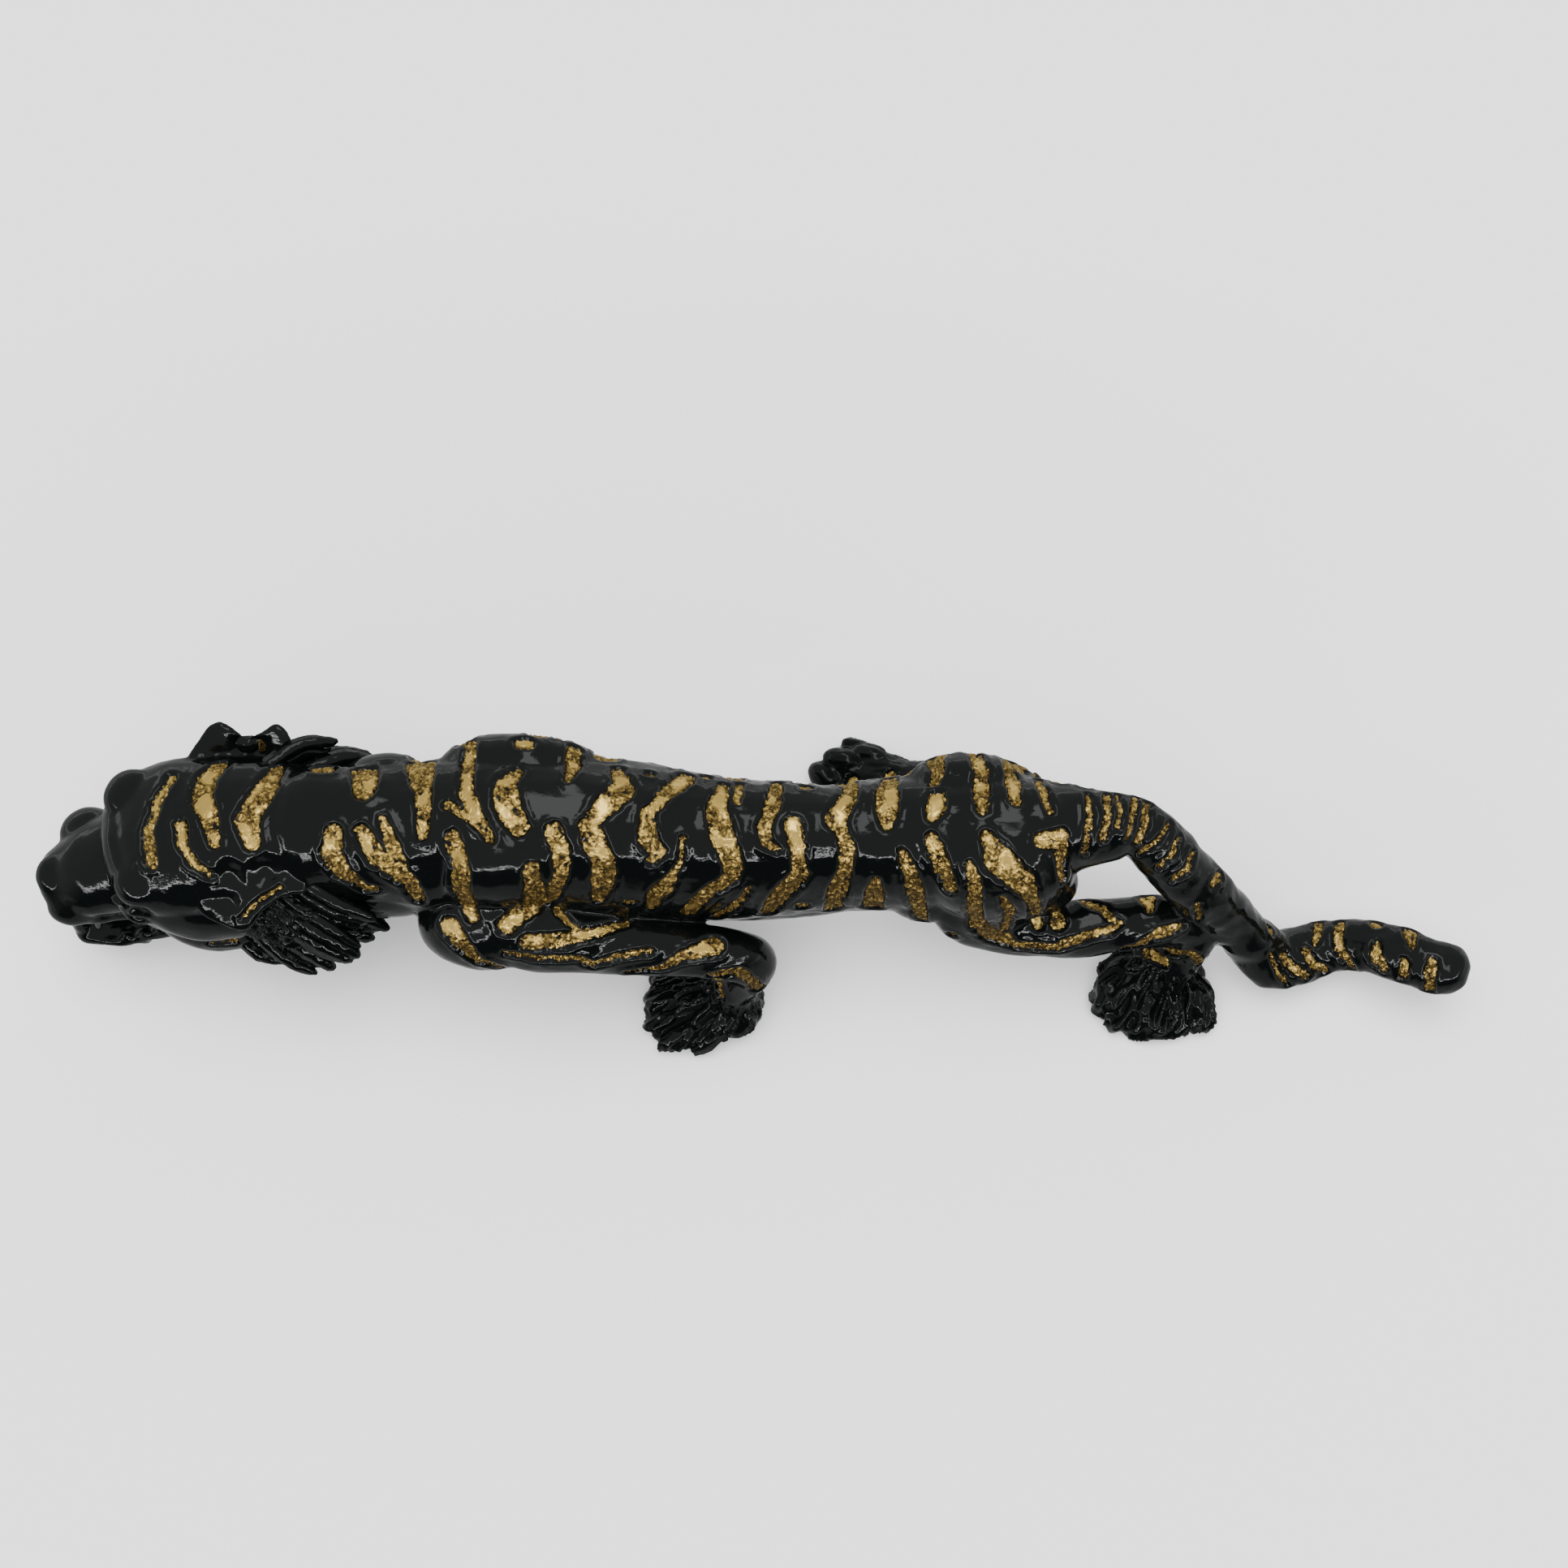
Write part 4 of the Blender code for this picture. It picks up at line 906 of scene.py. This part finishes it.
def lock_nodes():
    """Geometry Nodes that turn guide curves, with a radius at each point, into fluted locks."""
    tree = bpy.data.node_groups.new("fur_locks", "GeometryNodeTree")
    for label, kind in (("Guides", "Geometry"), ("Flutes", "Int"), ("Flute waist", "Float"),
                        ("Step", "Float"), ("Wobble", "Float"), ("Wobble scale", "Float"),
                        ("Seed", "Float"), ("Finish", "Material")):
        tree.interface.new_socket(name=label, in_out="INPUT", socket_type="NodeSocket" + kind)
    tree.interface.new_socket(name="Locks", in_out="OUTPUT", socket_type="NodeSocketGeometry")
    start = node(tree, "NodeGroupInput", -6).outputs
    spread = node(tree, "GeometryNodeResampleCurve", -3, {"Curve": start["Guides"], "Length": start["Step"]},
                  mode="LENGTH")
    star = node(tree, "GeometryNodeCurveStar", -3, {"Points": start["Flutes"], "Outer Radius": 1.0,
                                                    "Inner Radius": start["Flute waist"]})
    girth = node(tree, "GeometryNodeInputRadius", -3)
    skin_over = node(tree, "GeometryNodeCurveToMesh", -1, {
        "Curve": spread.outputs["Curve"], "Profile Curve": star.outputs["Curve"],
        "Scale": girth.outputs["Radius"], "Fill Caps": True})
    place = node(tree, "GeometryNodeInputPosition", -5)
    stir = node(tree, "ShaderNodeTexNoise", -4, {
        "Vector": place.outputs["Position"], "W": start["Seed"], "Scale": start["Wobble scale"]},
        noise_dimensions="4D")
    centre = node(tree, "ShaderNodeVectorMath", -3, {0: stir.outputs["Color"], 1: (0.5, 0.5, 0.5)},
                  operation="SUBTRACT")
    size = node(tree, "ShaderNodeVectorMath", -2, {0: centre.outputs[0], "Scale": start["Wobble"]},
                operation="SCALE")
    shove = node(tree, "GeometryNodeSetPosition", 0, {"Geometry": skin_over.outputs["Mesh"],
                                                      "Offset": size.outputs[0]})
    real = node(tree, "GeometryNodeRealizeInstances", 1, {"Geometry": shove.outputs["Geometry"]})
    paint = node(tree, "GeometryNodeSetMaterial", 2, {"Geometry": real.outputs["Geometry"],
                                                      "Material": start["Finish"]})
    node(tree, "NodeGroupOutput", 4, {"Locks": paint.outputs["Geometry"]})
    return tree


LOCK_STEP = 0.9 * MM
fur_tree = lock_nodes()


def grow_locks(name, guides, flutes, waist, wobble, wobble_scale, seed):
    """Locks along these guide lines, each a list of x, y, z and radius in millimetres, as one piece."""
    curve = bpy.data.curves.new(name, "CURVE")
    curve.dimensions = "3D"
    for guide in guides:
        points = smooth_path(guide)
        spline = curve.splines.new("POLY")
        spline.points.add(len(points) - 1)
        for point, (x, y, z, radius) in zip(spline.points, points):
            point.co = (*(Vector((x, y, z)) * MM + to_bench), 1)
            point.radius = max(radius, 0.15) * MM
    grown = on_bench(name, curve)
    modifier = grown.modifiers.new("Locks", "NODES")
    modifier.node_group = fur_tree
    wanted = {"Flutes": flutes, "Flute waist": waist, "Step": LOCK_STEP, "Wobble": wobble,
              "Wobble scale": wobble_scale, "Seed": seed, "Finish": fur_black}
    for item in fur_tree.interface.items_tree:
        if item.in_out == "INPUT" and item.name in wanted:
            modifier[item.identifier] = wanted[item.name]
    grown.update_tag()
    view = bpy.context.evaluated_depsgraph_get()
    mesh = bpy.data.meshes.new_from_object(grown.evaluated_get(view))
    bpy.data.objects.remove(grown)
    seat(on_bench(name, mesh), name)


# Ruff: bundles of locks behind each cheek. Root, middle and tip of a bundle, and its half-width
RUFF = [
    ((-156, -22, 84), (-143, -28, 78), (-131, -31, 72), 6),
    ((-160, -26, 76), (-147, -33, 69), (-137, -37, 62), 7),
    ((-168, -26, 67), (-157, -33, 58), (-148, -37, 51), 7),
    ((-177, -23, 57), (-168, -29, 49), (-160, -31, 43), 7),
    ((-150, -21, 70), (-139, -26, 63), (-131, -28, 58), 6),
    ((-152, -17, 58), (-141, -21, 51), (-133, -23, 46), 6),
    ((-166, 21, 88), (-155, 28, 87), (-146, 29, 86), 5),
    ((-154, 21, 85), (-143, 26, 82), (-134, 27, 79), 6),
    ((-160, 24, 76), (-147, 31, 71), (-137, 33, 66), 7),
    ((-168, 24, 66), (-157, 32, 58), (-148, 35, 52), 7),
    ((-177, 22, 56), (-167, 29, 48), (-159, 32, 43), 7),
    ((-152, 17, 60), (-141, 20, 52), (-133, 22, 46), 6),
]
RUFF_LOCKS = 4
dice = np.random.default_rng(11)
ruff_guides = []
for root, middle, tip, width in RUFF:
    root, middle, tip = Vector(root), Vector(middle), Vector(tip)
    along = (tip - root).normalized()
    outward = Vector((0, math.copysign(1, middle.y), 0.25))
    across = along.cross(outward).normalized()
    for k in range(RUFF_LOCKS):
        spread = (k / (RUFF_LOCKS - 1) - 0.5) * 2
        drift = across * spread * width
        lift = outward * float(dice.uniform(-1.0, 1.6))
        stretch = along * float(dice.uniform(-3.5, 2.0))
        fat = 3.9 - 0.9 * abs(spread) + float(dice.uniform(-0.5, 0.5))
        end = tip + drift * 0.8 + stretch + lift
        ruff_guides.append([(*(root + drift * 0.8 - along * 6 - outward * 4), fat * 0.7),
                            (*(root + drift * 0.9 + lift - outward), fat), (*(middle + drift + lift), fat),
                            (*end, fat * 0.62), (*(end + along * 1.6), fat * 0.25)])
grow_locks("ruff_fur", ruff_guides, 7, 0.72, 1.3 * MM, 330.0, 2.0)

# Paws: this many thick locks lie over the combed clay and end between the toes
PAW_FUR = {"near_front": 6, "far_front": 5, "near_hind": 6}
for name, count in PAW_FUR.items():
    *ends, half_width, instep, step_back = PAWS[name]
    wrist, toe_end, ahead, across, reach = paw_lines(*ends)
    guides = []
    for k in range(count):
        spread = (k / (count - 1) - 0.5) * 2
        fat = float(dice.uniform(2.4, 3.9))
        start = wrist + across * spread * half_width * 0.5 - ahead * 2
        ridge = wrist + ahead * reach * 0.35 + across * spread * half_width * 0.84
        knuckle = wrist + ahead * (reach * (0.85 - 0.35 * spread ** 2)) + across * spread * half_width * 0.96
        tip = wrist + ahead * (reach * (1.08 - 0.42 * spread ** 2) + float(dice.uniform(-1.5, 1.5)))
        tip += across * spread * half_width - ahead * step_back * (1 - spread) / 2
        top = instep * (1 - 0.30 * spread ** 2)
        guides.append([(start.x, start.y, top, fat * 0.8), (ridge.x, ridge.y, top * 0.80, fat),
                       (knuckle.x, knuckle.y, top * 0.55, fat * 1.1), (tip.x, tip.y, fat * 1.1, fat * 0.8)])
    grow_locks("paw_fur_" + name, guides, 6, 0.68, 1.8 * MM, 260.0, 3.0)


# The stage
# A sheet of white paper on the floor, in a pale room with one lamp panel overhead. The photographer
# looks down from in front of the tiger's left side.

FLOOR_HALF = 6.0
floor_mesh = bpy.data.meshes.new("floor")
corners = [(x * FLOOR_HALF, y * FLOOR_HALF, 0) for x, y in ((-1, -1), (1, -1), (1, 1), (-1, 1))]
floor_mesh.from_pydata(corners, [], [(0, 1, 2, 3)])
floor = on_bench("floor", floor_mesh)
paper = material("white_paper", lambda tree: {"Base Color": (0.9, 0.9, 0.9, 1), "Roughness": 0.9})
floor.data.materials.append(paper)
floor.visible_glossy = False

# The room: a pale ceiling with one lamp panel, pale walls, and behind the photographer a dark wall
# under a thin bright slot
room = bpy.data.worlds.new("room")
bpy.context.scene.world = room
room.use_nodes = True
tree = room.node_tree
where = node(tree, "ShaderNodeTexCoord", -9).outputs["Generated"]
side = node(tree, "ShaderNodeSeparateXYZ", -8, {0: where}).outputs


def grey(light):
    """Colourless light this bright."""
    return light, light, light, 1


def wall_light(at, bands):
    """Light by height, from bands of sine of elevation and brightness."""
    half = arithmetic(tree, "MULTIPLY", at - 2, side["Z"], 0.5)
    ramp = node(tree, "ShaderNodeValToRGB", at, {"Fac": arithmetic(tree, "ADD", at - 1, half, 0.5)})
    stops = ramp.color_ramp.elements
    while len(stops) > 1:
        stops.remove(stops[-1])
    for k, (sine, light) in enumerate(bands):
        stop = stops[0] if k == 0 else stops.new(sine / 2 + 0.5)
        stop.position = sine / 2 + 0.5
        stop.color = grey(light)
    return ramp.outputs["Color"]


pale_side = wall_light(-5, [(-1, 0.55), (-0.12, 0.70), (-0.08, 1.8), (-0.05, 1.8), (0.0, 0.60), (1.0, 0.70)])
dark_side = wall_light(-5, [(-1, 0.45), (-0.34, 0.50), (-0.26, 0.02), (0.348, 0.012),
                            (0.358, 38.0), (0.372, 38.0), (0.382, 0.68), (1.0, 0.70)])
rise_squared = arithmetic(tree, "MULTIPLY", -8, side["Z"], side["Z"])
level = arithmetic(tree, "SQRT", -6, arithmetic(tree, "SUBTRACT", -7, 1.0, rise_squared))
toward = arithmetic(tree, "DIVIDE", -5, side["Y"], level)
behind_camera = arithmetic(tree, "MULTIPLY", -4, arithmetic(tree, "ADD", -5, toward, 0.25), -2.2, clamp=True)
walls = blend(tree, -3, behind_camera, pale_side, dark_side)


def fade(at, axis, centre, reach):
    """Full at the centre of the panel and nothing at its edge, along one axis."""
    gap = arithmetic(tree, "DIVIDE", at, arithmetic(tree, "SUBTRACT", at, side[axis], centre), reach)
    inner = arithmetic(tree, "SUBTRACT", at + 1, 1.0, arithmetic(tree, "MULTIPLY", at, gap, gap))
    return arithmetic(tree, "MULTIPLY", at + 1, inner, 2.2, clamp=True)


PANEL_LIGHT = 4.0
BACKDROP_LIGHT = 0.72
upper_half = arithmetic(tree, "GREATER_THAN", -4, side["Z"], 0.0)
patch = arithmetic(tree, "MULTIPLY", -4, fade(-6, "X", 0.05, 0.17), fade(-6, "Y", 0.10, 0.48))
overhead = arithmetic(tree, "MULTIPLY", -4, patch, upper_half)
panel = blend(tree, -2, overhead, walls, grey(PANEL_LIGHT))
seen = node(tree, "ShaderNodeLightPath", -2).outputs["Is Camera Ray"]
backdrop = blend(tree, -1, seen, panel, grey(BACKDROP_LIGHT))
plug(tree, tree.nodes["Background"].inputs["Color"], backdrop)

# A soft overhead lamp that only the matt paper answers to
lamp = bpy.data.lights.new("paper_light", "SUN")
lamp.energy = 4.5
lamp.angle = math.radians(60)
lamp_object = on_bench("paper_light", lamp)
lamp_object.rotation_euler = (math.radians(8), math.radians(-6), 0)
lamp_object.visible_glossy = False

lens = bpy.data.cameras.new("photographer")
lens.sensor_width = 36
lens.lens = SIGHT_DISTANCE / (PICTURE_PIXEL * PICTURE_SIZE) * lens.sensor_width
lens.clip_start = 0.05
camera = on_bench("photographer", lens)
camera.location = SIGHT_AIM + to_bench + TOWARDS_EYE * SIGHT_DISTANCE
camera.rotation_euler = TOWARDS_EYE.to_track_quat("Z", "Y").to_euler()
bpy.context.scene.camera = camera
